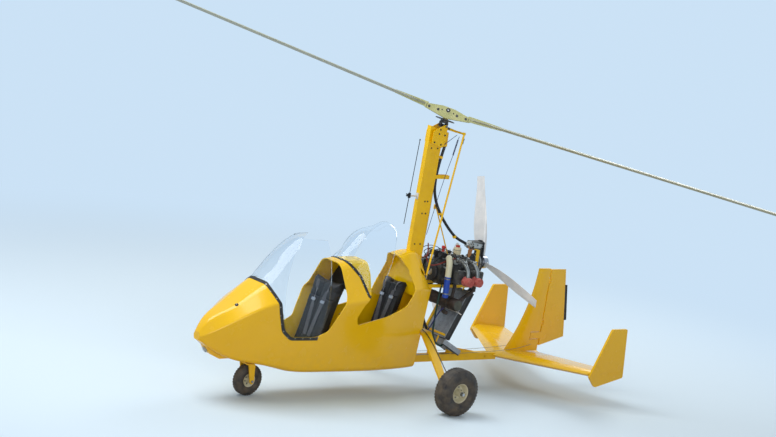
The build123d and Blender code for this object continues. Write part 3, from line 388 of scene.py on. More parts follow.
# %% Paint the frame
SLOT_FINISH = {
    "yellow_shell": "gelcoat", "yellow_tail": "gelcoat", "yellow_frame": "powder",
    "screen_glass": "polycarbonate", "screen_frame": "strip_rubber", "tyre_rubber": "tyre_rubber",
    "rim_cream": "rim_paint", "axle_steel": "bare_steel", "head_steel": "dark_steel",
    "hub_alloy": "hub_alloy", "blade_skin": "blade_skin", "prop_skin": "prop_skin",
    "prop_alloy": "bare_steel", "engine_alloy": "casting", "intake_alloy": "pipe_alloy",
    "filter_red": "filter_gauze", "exhaust_black": "exhaust_black", "cooler_core": "core_alloy",
    "bottle_cream": "bottle_plastic", "hose_blue": "two_tone_hose", "seat_cover": "leather",
    "black_rubber": "cable_rubber", "black_plastic": "black_plastic", "control_steel": "control_paint",
}
NODE_FINISH = {"torque_head": "torque_paint", "teeter_tower": "tower_olive", "head_drive": "powder"}
for node, part in nodes.items():
    part.data.materials.clear()
    part.data.materials.append(finishes[NODE_FINISH.get(node, SLOT_FINISH[slot_of[node]])])
print("painted:", len(nodes), "nodes")

# %% [markdown]
# ## Shop tools
# Most small fittings are one of four forms: a round tube along a bent path, a turned piece, a
# bevelled block or a flat plate. Each helper adds its form to a bmesh, so several of one finish
# make one piece. Places are given as on the drawing and moved into the frame at the end.


# %% Tubes and turned pieces
def smooth_path(points, steps):
    """A Catmull-Rom curve through the points."""
    spots = [Vector(p) for p in points]
    if len(spots) == 2:
        return spots
    padded = [spots[0] * 2 - spots[1]] + spots + [spots[-1] * 2 - spots[-2]]
    path = []
    for a, b, c, d in zip(padded, padded[1:], padded[2:], padded[3:]):
        for i in range(steps):
            t = i / steps
            bend = (a * -1 + b * 3 - c * 3 + d) * t**3 + (a * 2 - b * 5 + c * 4 - d) * t**2
            path.append((bend + (c - a) * t + b * 2) / 2)
    return path + [spots[-1]]


def skin_rings(bm, rings):
    """Joins rings of places with faces and closes both ends."""
    rows = [[bm.verts.new(spot) for spot in ring] for ring in rings]
    count = len(rows[0])
    for first, second in zip(rows, rows[1:]):
        for i in range(count):
            bm.faces.new((first[i], first[(i + 1) % count], second[(i + 1) % count], second[i]))
    bm.faces.new(rows[0][::-1])
    bm.faces.new(rows[-1])


def circle(centre, side, up, radius, sides):
    turns = [2 * math.pi * k / sides for k in range(sides)]
    return [centre + (side * math.cos(t) + up * math.sin(t)) * radius for t in turns]


def add_tube(bm, points, radius, sides=8, steps=6):
    """A round tube with closed ends."""
    path = smooth_path(points, steps)
    side = (path[1] - path[0]).orthogonal().normalized()
    rings = []
    for i, spot in enumerate(path):
        ahead = (path[min(i + 1, len(path) - 1)] - path[max(i - 1, 0)]).normalized()
        side = (side - ahead * side.dot(ahead)).normalized()
        rings.append(circle(spot, side, ahead.cross(side), radius, sides))
    skin_rings(bm, rings)


def add_turned(bm, start, direction, profile, sides=24):
    """A piece turned on a lathe. profile is rows of (distance along the axis, radius)."""
    ahead = Vector(direction).normalized()
    side = ahead.orthogonal().normalized()
    up = ahead.cross(side)
    start = Vector(start)
    skin_rings(bm, [circle(start + ahead * reach, side, up, radius, sides) for reach, radius in profile])


def collar(radius, length, edge, drop):
    """The profile of a ring or disc whose two edges are cut back."""
    return [(0, radius - drop), (edge, radius), (length - edge, radius), (length, radius - drop)]


def add_bar(bm, start, end, radius, sides=12):
    """A round bar with softened ends."""
    way = Vector(end) - Vector(start)
    soft = min(radius * 0.25, way.length * 0.2)
    add_turned(bm, start, way, collar(radius, way.length, soft, soft), sides)


print("tubes and turned pieces")

# %% [markdown]
# A block's edges are bevelled, because no cast or moulded edge is sharp and the bevel catches
# the light. A plate is an outline pushed both ways, and a spring is a tube along a helix.


# %% Blocks, plates and springs
def add_block(bm, centre, size, bevel=0.002, turn=(0, 0, 0)):
    """A bevelled block. turn is in degrees about X, Y and Z."""
    corners = bmesh.ops.create_cube(bm, size=1.0)["verts"]
    bmesh.ops.scale(bm, vec=size, verts=corners)
    edges = list({edge for corner in corners for edge in corner.link_edges})
    cut = bmesh.ops.bevel(bm, geom=edges, offset=bevel, segments=2, affect="EDGES", clamp_overlap=True)
    rounded = {corner for face in cut["faces"] for corner in face.verts}
    rounded |= {corner for corner in corners if corner.is_valid}
    place = Matrix.Translation(centre)
    for degrees, axis in zip(turn[::-1], "ZYX"):
        place = place @ Matrix.Rotation(math.radians(degrees), 4, axis)
    bmesh.ops.transform(bm, matrix=place, verts=list(rounded))


def add_plate(bm, outline, origin, across, along, thickness):
    """A flat plate: outline rows are (across, along), and it is thickened both ways."""
    across, along = Vector(across).normalized(), Vector(along).normalized()
    out = across.cross(along) * (thickness / 2)
    flat = [Vector(origin) + across * a + along * b for a, b in outline]
    skin_rings(bm, [[spot - out for spot in flat], [spot + out for spot in flat]])


def add_coil(bm, start, end, radius, wire, turns):
    """A wound spring between two places."""
    start, end = Vector(start), Vector(end)
    ahead = (end - start).normalized()
    side = ahead.orthogonal().normalized()
    up = ahead.cross(side)
    spots = []
    for k in range(turns * 8 + 1):
        turn = k * math.pi / 4
        out = side * math.cos(turn) + up * math.sin(turn)
        spots.append(start.lerp(end, k / (turns * 8)) + out * radius)
    add_tube(bm, spots, wire, 5, 1)


print("blocks, plates and springs")

# %% [markdown]
# A finished mesh becomes a piece in one place: it is moved into the frame, gets its finish and
# smooth shading up to an angle, and rides on the body that carries it. A piece of several forms
# is given as a table, with the tool that makes each form and its sizes.


# %% Pieces
def place_mesh(mesh, name, colour, body, smooth_angle=40):
    """Puts a finished mesh in the frame as a piece that rides on a body, if it names one."""
    mesh.name = name
    mesh.transform(Matrix.Translation(DRAWING_TO_FRAME))
    mesh.materials.clear()
    mesh.materials.append(finishes[colour])
    mesh.polygons.foreach_set("material_index", [0] * len(mesh.polygons))
    mesh.polygons.foreach_set("use_smooth", [True] * len(mesh.polygons))
    mesh.set_sharp_from_angle(angle=math.radians(smooth_angle))
    piece = bpy.data.objects.new(name, mesh)
    scene.collection.objects.link(piece)
    if body:
        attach(piece, body)
    return piece


def make_mesh(name, bm):
    mesh = bpy.data.meshes.new(name)
    bm.to_mesh(mesh)
    bm.free()
    return mesh


def make_piece(name, bm, colour, body="airframe"):
    """Closes off a bmesh whose forms are all closed, and places it."""
    bmesh.ops.recalc_face_normals(bm, faces=bm.faces)
    return place_mesh(make_mesh(name, bm), name, colour, body)


def assemble(name, colour, rows, body="airframe"):
    """One piece from rows of a shop tool and what it is given."""
    bm = bmesh.new()
    for tool, *given in rows:
        tool(bm, *given)
    return make_piece(name, bm, colour, body)


print("shop tools ready")

# %% [markdown]
# ## Repeats
# Bolts, rivets, tread blocks and cooler fins repeat one small form many times, so Geometry
# Nodes place them. The tree takes the form as its geometry input and sets copies of it round a
# circle or at a list of marked points, then makes them real and gives them their finish. The
# result is turned into a plain mesh, because an export drops instances.


# %% Repeat tree ends
def repeat_tree(name, sockets):
    """A geometry tree with a form, its own settings and a finish to give."""
    tree = bpy.data.node_groups.new(name, "GeometryNodeTree")
    rows = [("Form", "Geometry"), *sockets, ("Finish", "Material")]
    for label, kind in rows:
        tree.interface.new_socket(label, in_out="INPUT", socket_type="NodeSocket" + kind)
    tree.interface.new_socket("Copies", in_out="OUTPUT", socket_type="NodeSocketGeometry")
    return tree, tree.nodes.new("NodeGroupInput").outputs


def end_tree(tree, given, instances):
    real = put(tree, "GeometryNodeRealizeInstances", {"Geometry": instances}).outputs["Geometry"]
    painted = put(tree, "GeometryNodeSetMaterial", {"Geometry": real, "Material": given["Finish"]})
    put(tree, "NodeGroupOutput", {"Copies": painted.outputs["Geometry"]})
    return tree


print("tree ends ready")

# %% [markdown]
# Tread blocks stand round a tyre. A circle of points is stood upright about the axle, each
# point's rotation turns the block's own Z outwards, and a second turn keeps the block's long
# side level with the axle.


# %% Ring tree
def make_ring_tree():
    """Copies of the form round a circle about the Y axis, each turned to face outwards."""
    tree, given = repeat_tree("ring_of_copies", [("Count", "Int"), ("Radius", "Float"), ("Place", "Vector")])
    round_z = put(tree, "GeometryNodeMeshCircle", {"Vertices": given["Count"], "Radius": given["Radius"]})
    stood_up = {"Geometry": round_z.outputs["Mesh"], "Rotation": (math.pi / 2, 0, 0)}
    points = put(tree, "GeometryNodeTransform", stood_up).outputs["Geometry"]
    spot = put(tree, "GeometryNodeInputPosition").outputs["Position"]
    aim = put(tree, "FunctionNodeAlignRotationToVector", {"Vector": spot}, axis="Z").outputs["Rotation"]
    level = {"Rotation": aim, "Vector": (0, 1, 0)}
    hold = put(tree, "FunctionNodeAlignRotationToVector", level, axis="Y", pivot_axis="Z").outputs["Rotation"]
    turned = {"Points": points, "Rotation": hold, "Instance": given["Form"]}
    copies = put(tree, "GeometryNodeInstanceOnPoints", turned).outputs["Instances"]
    moved = put(tree, "GeometryNodeTransform", {"Geometry": copies, "Translation": given["Place"]})
    return end_tree(tree, given, moved.outputs["Geometry"])


ring_tree = make_ring_tree()
print("tree:", ring_tree.name)

# %% [markdown]
# A bolt head or a rivet needs only a place and an aim. The places come in as loose points with
# the aim as an attribute, and the tree makes the head and its washer from two cylinders, so one
# tree serves hexagon bolts, round rivets and the ring's square teeth.


# %% Marks tree
def make_marks_tree():
    """The form's marked points carry an aim each, and a hexagon head on a washer goes on each one."""
    tree, given = repeat_tree("heads_on_marks", [
        ("Head Radius", "Float"), ("Head Height", "Float"), ("Sides", "Int"), ("Washer", "Float"),
    ])

    def times(first, second):
        return put(tree, "ShaderNodeMath", {0: first, 1: second}, operation="MULTIPLY").outputs[0]

    radius, height = given["Head Radius"], given["Head Height"]
    head_size = {"Vertices": given["Sides"], "Radius": radius, "Depth": height}
    head = put(tree, "GeometryNodeMeshCylinder", head_size).outputs["Mesh"]
    washer_size = {"Vertices": 16, "Radius": times(radius, given["Washer"]), "Depth": times(height, 0.3)}
    washer = put(tree, "GeometryNodeMeshCylinder", washer_size).outputs["Mesh"]
    raised = put(tree, "ShaderNodeCombineXYZ", {"Z": times(height, 0.5)}).outputs["Vector"]
    lifted = put(tree, "GeometryNodeTransform", {"Geometry": head, "Translation": raised})
    join = put(tree, "GeometryNodeJoinGeometry", {"Geometry": lifted.outputs["Geometry"]})
    tree.links.new(washer, join.inputs["Geometry"])
    aim_at = put(tree, "GeometryNodeInputNamedAttribute", {"Name": "aim"}, data_type="FLOAT_VECTOR")
    aimed = {"Vector": aim_at.outputs["Attribute"]}
    aim = put(tree, "FunctionNodeAlignRotationToVector", aimed, axis="Z").outputs["Rotation"]
    placed = {"Points": given["Form"], "Instance": join.outputs["Geometry"], "Rotation": aim}
    copies = put(tree, "GeometryNodeInstanceOnPoints", placed)
    return end_tree(tree, given, copies.outputs["Instances"])


marks_tree = make_marks_tree()
print("tree:", marks_tree.name)

# %% [markdown]
# A cooler's fins are one thin sheet repeated at an even pitch, so a mesh line carries them.


# %% Row tree
def make_row_tree():
    """Copies of the form along a straight line."""
    tree, given = repeat_tree("row_of_copies", [("Count", "Int"), ("Start", "Vector"), ("Step", "Vector")])
    laid_out = {"Count": given["Count"], "Start Location": given["Start"], "Offset": given["Step"]}
    line = put(tree, "GeometryNodeMeshLine", laid_out).outputs["Mesh"]
    copies = put(tree, "GeometryNodeInstanceOnPoints", {"Points": line, "Instance": given["Form"]})
    return end_tree(tree, given, copies.outputs["Instances"])


row_tree = make_row_tree()
print("tree:", row_tree.name)

# %% [markdown]
# A tree's inputs are set by each socket's identifier before the object is first evaluated. The
# evaluated object gives a plain mesh, and the object that carried the tree is thrown away.


# %% Growing a piece from a tree
def evaluated(thing):
    """The plain mesh that an object's modifiers make. The object is removed."""
    bpy.context.view_layer.update()
    made = bpy.data.meshes.new_from_object(thing.evaluated_get(bpy.context.evaluated_depsgraph_get()))
    bpy.data.objects.remove(thing)
    return made


def linked(name, mesh):
    thing = bpy.data.objects.new(name, mesh)
    scene.collection.objects.link(thing)
    return thing


def grow(form, tree, settings):
    """Runs a repeat tree on a form and returns the plain mesh that it makes."""
    seed = linked("seed", form)
    modifier = seed.modifiers.new("repeat", "NODES")
    modifier.node_group = tree
    for item in tree.interface.items_tree:
        if item.in_out == "INPUT" and item.name in settings:
            modifier[item.identifier] = settings[item.name]
    return evaluated(seed)


def repeats(name, form_bm, tree, rows, colour, body="airframe"):
    """One piece from a form that a tree repeats, once for each row of the tree's settings."""
    bmesh.ops.recalc_face_normals(form_bm, faces=form_bm.faces)
    form = make_mesh("form", form_bm)
    whole = bmesh.new()
    for settings in rows:
        whole.from_mesh(grow(form, tree, settings | {"Finish": finishes[colour]}))
    return place_mesh(make_mesh(name, whole), name, colour, body)


def heads(name, marks, radius, height, colour, body="airframe", sides=6, washer=1.35):
    """A bolt head or rivet at each mark, which is (place, aim)."""
    form = bpy.data.meshes.new("marks")
    form.from_pydata([place for place, aim in marks], [], [])
    layer = form.attributes.new("aim", "FLOAT_VECTOR", "POINT")
    layer.data.foreach_set("vector", [c for place, aim in marks for c in aim])
    settings = {"Head Radius": radius, "Head Height": height, "Sides": sides, "Washer": washer}
    grown = grow(form, marks_tree, settings | {"Finish": finishes[colour]})
    return place_mesh(grown, name, colour, body, 30)


print("repeats ready")

# %% [markdown]
# Rays find where a fitting meets the surface that carries it, so it sits on the real curve.


# %% Surfaces for rays
def surface_of(node):
    """A node's surface on the drawing's axes, for rays to meet."""
    return tree_of(nodes[node].data, -DRAWING_TO_FRAME)


def tree_of(mesh, shift=Vector()):
    return BVHTree.FromPolygons([v.co + shift for v in mesh.vertices], [p.vertices for p in mesh.polygons])


def on_surface(shape, spot, way):
    """The place where a ray meets a surface and the normal there, turned to face the ray."""
    hit, normal, index, reach = shape.ray_cast(Vector(spot), Vector(way))
    if hit and normal.dot(Vector(way)) > 0:
        normal = -normal
    return hit, normal


print("rays ready")

# %% [markdown]
# ## Seat pads
# Each seat has a cushion and a tall back pad: foam in black leather, flat where it rests and
# crowned where it doesn't. They are made as a real pad is. The CAD solid is the foam's blank, it is
# taken in a little, skinned with an even mesh and blown up by cloth pressure until the
# cover is tight, and the sewn channels are pressed in afterwards, because the skinning would
# smooth them away.

# %% Blanks for the pads
def drawing_copy(node):
    """A node's mesh, welded, on the drawing's axes."""
    whole = bmesh.new()
    whole.from_mesh(nodes[node].data)
    bmesh.ops.remove_doubles(whole, verts=whole.verts, dist=1e-5)
    bmesh.ops.translate(whole, vec=-DRAWING_TO_FRAME, verts=whole.verts)
    return whole


def loose_solids(node):
    """The solids of a CAD node as separate meshes on the drawing's axes, front to back."""
    whole = drawing_copy(node)
    left = set(whole.verts)
    groups = []
    while left:
        group = set()
        edge_of_group = [next(iter(left))]
        while edge_of_group:
            corner = edge_of_group.pop()
            if corner not in group:
                group.add(corner)
                edge_of_group += [edge.other_vert(corner) for edge in corner.link_edges]
        left -= group
        groups.append(group)
    solids = []
    for group in sorted(groups, key=lambda g: min(v.co.x for v in g)):
        solid = whole.copy()
        kept = {v.index for v in group}
        bmesh.ops.delete(solid, geom=[v for v in solid.verts if v.index not in kept], context="VERTS")
        solids.append(make_mesh(node, solid))
    whole.free()
    return solids


print("blanks ready")

# %% [markdown]
# Remeshing by voxels gives cloth the even skin that it needs to swell smoothly. The pad grows
# under pressure, so the blank is taken in first, and a cap on each point's way keeps the cover
# from ballooning where the foam is thin.

# %% Foam and its cover
PAD_VOXEL = 0.0065
PAD_TAKE_IN = 0.015
PAD_PRESSURE = 4.0
PAD_FRAMES = 20
PAD_CAP = 0.024


def pushed_out(mesh, distance):
    """Moves every point of a mesh along its normal."""
    for corner, normal in zip(mesh.vertices, [v.normal.copy() for v in mesh.vertices]):
        corner.co += normal * distance
    return mesh


def skinned(blank):
    """A copy of a mesh, taken in along its normals, with an even skin."""
    thing = linked("blank", pushed_out(blank.copy(), -PAD_TAKE_IN))
    skin = thing.modifiers.new("skin", "REMESH")
    skin.mode = "VOXEL"
    skin.voxel_size = PAD_VOXEL
    return evaluated(thing)


def blown_up(mesh):
    """Cloth pressure from inside, with each point's way capped."""
    start = [v.co.copy() for v in mesh.vertices]
    thing = linked("pad", mesh)
    cloth = thing.modifiers.new("air", "CLOTH")
    cloth.settings.use_pressure = True
    cloth.settings.uniform_pressure_force = PAD_PRESSURE
    cloth.settings.effector_weights.gravity = 0.0
    cloth.point_cache.frame_start = 1
    cloth.point_cache.frame_end = PAD_FRAMES
    for moment in range(1, PAD_FRAMES + 1):
        scene.frame_set(moment)
    result = evaluated(thing)
    for corner, old in zip(result.vertices, start):
        way = corner.co - old
        if way.length > PAD_CAP:
            corner.co = old + way * (PAD_CAP / way.length)
    scene.frame_set(1)
    return result


def subdivided(mesh):
    thing = linked("pad", mesh)
    rounder = thing.modifiers.new("round", "SUBSURF")
    rounder.levels = rounder.render_levels = 1
    return evaluated(thing)


print("foam tools ready")

# %% [markdown]
# The channels are sewn lines that pull the leather down into the foam. Points near a line sink
# along their own normal by a bell curve, on the side that is sat on. The side that rests on the
# seat pan is kept flat on the blank's own surface.

# %% Seat pads
CHANNEL_DEPTH = 0.007
CHANNEL_WIDTH = 0.010


def groove(distance):
    """How deep a sewn channel is at a distance from its middle."""
    return CHANNEL_DEPTH * math.exp(-((distance / CHANNEL_WIDTH) ** 2) * 2)


# Columns: node, long axis, channels across y, channels as shares of the long side, resting way
PADS = [
    ("seat_cushions", "x", (-0.075, 0.075), (0.42,), Vector((0, 0, -1))),
    ("seat_backs", "z", (-0.075, 0.0, 0.075), (0.72,), Vector((1, 0, -0.2))),
]
pad_shapes = {}
for node, along, channels, crossings, rest_way in PADS:
    for place, blank in zip(("front", "rear"), loose_solids(node)):
        limit = tree_of(blank)
        pad = subdivided(blown_up(skinned(blank)))
        reach = [getattr(v.co, along) for v in blank.vertices]
        spots = [min(reach) + (max(reach) - min(reach)) * share for share in crossings]
        for corner, normal in zip(pad.vertices, [v.normal.copy() for v in pad.vertices]):
            if normal.dot(rest_way) < -0.35:
                depths = [groove(corner.co.y - y) for y in channels]
                depths += [groove(getattr(corner.co, along) - spot) for spot in spots]
                corner.co -= normal * max(depths)
            hit, out, index, distance = limit.find_nearest(corner.co)
            if out.dot(rest_way) > 0.3 and (corner.co - hit).dot(out) > 0:
                corner.co = hit
        name = f"{node[:-1]}_{place}"
        pad_shapes[name] = tree_of(pad)
        piece = place_mesh(pad, name, "leather", "airframe", 60)
        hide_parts(node)
        print(name, len(pad.polygons), "faces")

# %% [markdown]
# ## Harness
# Two shoulder straps and a lap strap hold each person in. Webbing is thin and stiff across its
# width, so each strap is a ribbon laid on the finished pad: rays find the pad's surface below
# each station, and the ribbon lies a little proud of it. A box buckle joins the four ends.

# %% Harness
STRAP_WIDTH = 0.044
STRAP_THICK = 0.0025
STRAP_LIFT = 0.004
SHOULDER_OUT = 0.085
SHOULDER_STEPS = 24
# Columns: seat, x ahead of the back pad, shoulder z, waist z, cushion x, ray height
SEATS = [("front", -1.6, 1.09, 0.56, -1.36, 0.9), ("rear", -0.85, 1.09, 0.62, -0.50, 0.9)]


def add_ribbon(bm, spots, normals):
    """A flat strap through the spots, with its flat side facing the normals."""
    rows = []
    for i, (spot, normal) in enumerate(zip(spots, normals)):
        ahead = (spots[min(i + 1, len(spots) - 1)] - spots[max(i - 1, 0)]).normalized()
        side = ahead.cross(normal).normalized() * (STRAP_WIDTH / 2)
        lift = side.cross(ahead).normalized() * (STRAP_THICK / 2)
        rows.append([spot + a * side + b * lift for a, b in ((-1, -1), (1, -1), (1, 1), (-1, 1))])
    skin_rings(bm, rows)


def laid_on(shape, stations, way):
    """Where rays along way meet a pad, with the surface's normal there."""
    hits = [shape.ray_cast(Vector(station), Vector(way))[:2] for station in stations]
    found = [(hit + normal * STRAP_LIFT, normal) for hit, normal in hits if hit]
    return [spot for spot, normal in found], [normal for spot, normal in found]


straps, buckles, slides = bmesh.new(), bmesh.new(), bmesh.new()
for place, ahead_x, shoulder_z, waist_z, lap_x, above_z in SEATS:
    back = pad_shapes["seat_back_" + place]
    cushion = pad_shapes["seat_cushion_" + place]
    for side in (-1, 1):
        stations = []
        for i in range(SHOULDER_STEPS + 1):
            share = i / SHOULDER_STEPS
            drop = shoulder_z + (waist_z - shoulder_z) * share
            stations.append((ahead_x, side * (SHOULDER_OUT - 0.055 * share), drop))
        spots, normals = laid_on(back, stations, (1, 0, 0))
        add_ribbon(straps, spots, normals)
        third = len(spots) // 3
        add_block(slides, spots[third] + normals[third] * 0.004, (0.010, 0.054, 0.028), 0.002, (0, 18, 0))
        turns = [i / 10 * math.pi for i in range(11)]
        lap = [(lap_x + 0.02 * math.cos(t), side * (0.02 + 0.155 * t / math.pi), above_z) for t in turns]
        add_ribbon(straps, *laid_on(cushion, lap, (0, 0, -1)))
    (spot,), (normal,) = laid_on(cushion, [(lap_x, 0, above_z)], (0, 0, -1))
    add_block(buckles, spot + normal * 0.012, (0.062, 0.075, 0.020), 0.006)
    add_block(buckles, spot + normal * 0.024, (0.026, 0.038, 0.008), 0.003)
make_piece("harness_straps", straps, "webbing")
make_piece("harness_buckles", buckles, "black_plastic")
make_piece("harness_slides", slides, "bare_steel")
print("harness: straps, slides and buckles")

# %% [markdown]
# ## Wheels
# The tyres' carcass comes from the CAD. Its shoulders carry rows of low tread blocks, one form
# that the ring tree sets round each tyre, just inside the tyre's own outline so that the wheel
# keeps its size. The rims are split halves held by a ring of bolts, with a valve and a dust cap.

# %% Tread
MAIN_AXLE = (-0.081, 0.2275)
NOSE_AXLE = (-1.895, 0.150)
TREAD_HEIGHT = 0.0035
TREAD_WIDTH = 0.016
TREAD_SHARE = 0.66


def tread_block(low, high, width, length):
    """A tapered block that stands along Z, with its long side round the tyre."""
    bm = bmesh.new()
    rings = []
    for z, shrink in ((low, 1.0), (high - 0.0015, 0.94), (high, 0.78)):
        a, b = length / 2 * shrink, width / 2 * shrink
        rings.append([(a * i, b * j, z) for i, j in ((-1, -1), (1, -1), (1, 1), (-1, 1))])
    skin_rings(bm, rings)
    return bm


# Columns: body, node, axle x and z, middle y, tyre radius, offsets of the rows, blocks in a row
TYRES = [
    ("wheel_port", "tyre_port", MAIN_AXLE, -0.870, 0.2262, (0.030, 0.052), 44),
    ("wheel_starboard", "tyre_starboard", MAIN_AXLE, 0.870, 0.2262, (0.030, 0.052), 44),
    ("nose_wheel", "nose_tyre", NOSE_AXLE, 0.0, 0.1475, (0.020,), 34),
]
for body, node, (x, z), middle, radius, offsets, count in TYRES:
    carcass = surface_of(node)
    for row, offset in enumerate(offsets):
        hit, normal = on_surface(carcass, (x, middle + offset, z + 0.5), (0, 0, -1))
        level = hit.z - z
        top = min(level + TREAD_HEIGHT, radius)
        form = tread_block(-0.006, top - level, TREAD_WIDTH, 2 * math.pi * level / count * TREAD_SHARE)
        rows = [{"Count": count, "Radius": level, "Place": (x, middle + s * offset, z)} for s in (-1, 1)]
        repeats(f"{node}_tread_{row}", form, ring_tree, rows, "tyre_rubber", body)
        print(node, "row", row, "at radius", round(level, 4))

# %% [markdown]
# Rays towards the rim's outer face find where each bolt head and the valve's foot sit, so they
# follow the dished face. The nose rim is bolted on both sides.

# %% Rim bolts and valves
RIM_BOLTS = 6
VALVE_OUT = 1.35
VALVE_PROFILE = [
    (-0.004, 0.005), (0.004, 0.005), (0.005, 0.003), (0.013, 0.003), (0.014, 0.0038), (0.022, 0.0038),
    (0.0235, 0.002),
]
# Columns: body, node, axle x and z, middle y, side that faces out, bolt circle, ray start
RIMS = [
    ("wheel_port", "rim_port", MAIN_AXLE, -0.870, -1, 0.052, 0.30),
    ("wheel_starboard", "rim_starboard", MAIN_AXLE, 0.870, 1, 0.052, 0.30),
    ("nose_wheel", "nose_rim", NOSE_AXLE, 0.0, -1, 0.036, 0.20),
    ("nose_wheel", "nose_rim", NOSE_AXLE, 0.0, 1, 0.036, 0.20),
]
for body, node, (x, z), middle, outer, bolt_radius, reach in RIMS:
    face = surface_of(node)
    inwards = (0, -outer, 0)
    marks = []
    for k in range(RIM_BOLTS):
        turn = 2 * math.pi / RIM_BOLTS * k + 0.3
        a, b = bolt_radius * math.cos(turn), bolt_radius * math.sin(turn)
        hit, normal = on_surface(face, (x + a, middle + outer * reach, z + b), inwards)
        if hit:
            marks.append((hit, (0, outer, 0)))
    side_name = "port" if outer < 0 else "starboard"
    heads(f"{node}_bolts_{side_name}", marks, 0.0062, 0.007, "bolt_steel", body)
    spot = Vector((x + bolt_radius * VALVE_OUT, middle + outer * reach, z))
    hit = on_surface(face, spot, inwards)[0] or Vector((spot.x, middle + outer * 0.03, z))
    valve = [(add_turned, hit, (0, outer, 0), VALVE_PROFILE, 12)]
    assemble(f"{node}_valve_{side_name}", "cable_rubber", valve, body)
print("wheels dressed")

# %% [markdown]
# The axle ends outside each rim in a castle nut and a washer, and a brake hose runs from each
# calliper along the gear leg to the hull.

# %% Axle ends and brake hoses
WASHER = [(0, 0.021), (0.003, 0.021), (0.004, 0.016)]
AXLE_NUT = [(0, 0.0165), (0.001, 0.018), (0.016, 0.018), (0.018, 0.0155)]
FORK_NUT = [(0, 0.0125), (0.001, 0.014), (0.007, 0.014), (0.0085, 0.012)]
BRAKE_HOSE = [
    (-0.081, 0.745, 0.312), (-0.075, 0.728, 0.345), (-0.062, 0.66, 0.372), (-0.03, 0.50, 0.468),
    (-0.005, 0.35, 0.558), (0.0, 0.22, 0.628), (-0.01, 0.10, 0.652),
]
nuts, fork_nuts, hoses = [], [], []
for side in (-1, 1):
    out = (0, side, 0)
    nuts.append((add_turned, (MAIN_AXLE[0], side * 0.949, MAIN_AXLE[1]), out, WASHER))
    nuts.append((add_turned, (MAIN_AXLE[0], side * 0.952, MAIN_AXLE[1]), out, AXLE_NUT, 6))
    fork_nuts.append((add_turned, (NOSE_AXLE[0], side * 0.0745, NOSE_AXLE[1]), out, FORK_NUT, 6))
    hoses.append((add_tube, [(x, side * y, z) for x, y, z in BRAKE_HOSE], 0.0045))
assemble("axle_nuts", "bolt_steel", nuts)
assemble("nose_axle_nuts", "bolt_steel", fork_nuts, "nose_fork")
assemble("brake_hoses", "cable_rubber", hoses)
print("axle ends and brake hoses")

# %% [markdown]
# ## Rotor head fittings
# The hub bar is two cheek plates with the blades' roots bolted between them, and it rocks on one
# teeter bolt in the tower. The machine's head leans aft and the rotor stands at an angle, so
# places on the hub are given on its own axes: out along the near blade, across the plates,
# and up the spindle.

# %% Hub bolts and teeter bolt
HEAD_TILT = math.radians(14)
ROTOR_TURN = math.radians(45)
HUB_CENTRE = Vector((0, 0, 2.732))
SPINDLE_UP = Vector((math.sin(HEAD_TILT), 0, math.cos(HEAD_TILT)))
LEVEL_OUT = Vector((math.cos(HEAD_TILT), 0, -math.sin(HEAD_TILT)))
BLADE_OUT = LEVEL_OUT * math.sin(ROTOR_TURN) + Vector((0, -math.cos(ROTOR_TURN), 0))
PLATES_ACROSS = SPINDLE_UP.cross(BLADE_OUT)
CHEEK_FACE = 0.042
TEETER_UP = 0.026
ROOT_BOLT_UP = 0.003
SMALL_BOLT_UP = 0.013
TEETER_NUT = [(0, 0.021), (0.002, 0.021), (0.0025, 0.015), (0.004, 0.017), (0.0165, 0.017), (0.0185, 0.0145)]
BOLT_END = [(0, 0.0085), (0.002, 0.0085), (0.003, 0.006)]


def on_hub(out, across, up):
    return HUB_CENTRE + BLADE_OUT * out + PLATES_ACROSS * across + SPINDLE_UP * up


def cheek_marks(places, up):
    """Marks on both cheek plates, at places along the blades."""
    return [(on_hub(r, s * CHEEK_FACE, up), PLATES_ACROSS * s) for r in places for s in (-1, 1)]


root_bolts = cheek_marks((-0.185, -0.095, 0.095, 0.185), ROOT_BOLT_UP)
small_bolts = cheek_marks((-0.058, 0.058), SMALL_BOLT_UP)
heads("hub_root_bolts", root_bolts, 0.0095, 0.008, "dark_steel", "rotor")
heads("hub_small_bolts", small_bolts, 0.005, 0.005, "dark_steel", "rotor")
nuts, shine = [], []
for side in (-1, 1):
    way = PLATES_ACROSS * side
    nuts.append((add_turned, on_hub(0, side * CHEEK_FACE, TEETER_UP), way, TEETER_NUT, 12))
    shine.append((add_turned, on_hub(0, side * (CHEEK_FACE + 0.0175), TEETER_UP), way, BOLT_END, 16))
assemble("teeter_nuts", "dark_steel", nuts, "rotor")
assemble("teeter_bolt_ends", "bright_alloy", shine, "rotor")
print("hub:", len(root_bolts) + len(small_bolts), "bolts and a teeter bolt")

# %% [markdown]
# The blades are each almost four metres long but come as a few very long triangles, which shade
# badly. A copy of them is cut across at even stations and keeps its shape to the last point.

# %% Blade skins
BLADE_STATION = 0.12
STATIONS = 34
skins = drawing_copy("rotor_blades")
for k in range(-STATIONS, STATIONS + 1):
    parts = list(skins.verts) + list(skins.edges) + list(skins.faces)
    cut_at = on_hub(k * BLADE_STATION, 0, 0)
    bmesh.ops.bisect_plane(skins, geom=parts, plane_co=cut_at, plane_no=BLADE_OUT, dist=1e-6)
skin_mesh = make_mesh("rotor_blade_skins", skins)
blade_skins = place_mesh(skin_mesh, "rotor_blade_skins", "blade_skin", "rotor", 30)
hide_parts("rotor_blades")
print("blades:", len(skin_mesh.polygons), "faces")

# %% [markdown]
# A white cap sits between the plates on top of the tower, dark bands mark the blades' roots, and
# the starter ring has teeth round its rim. The teeth are the marks tree again, with four-sided
# heads aimed outwards from the spindle.

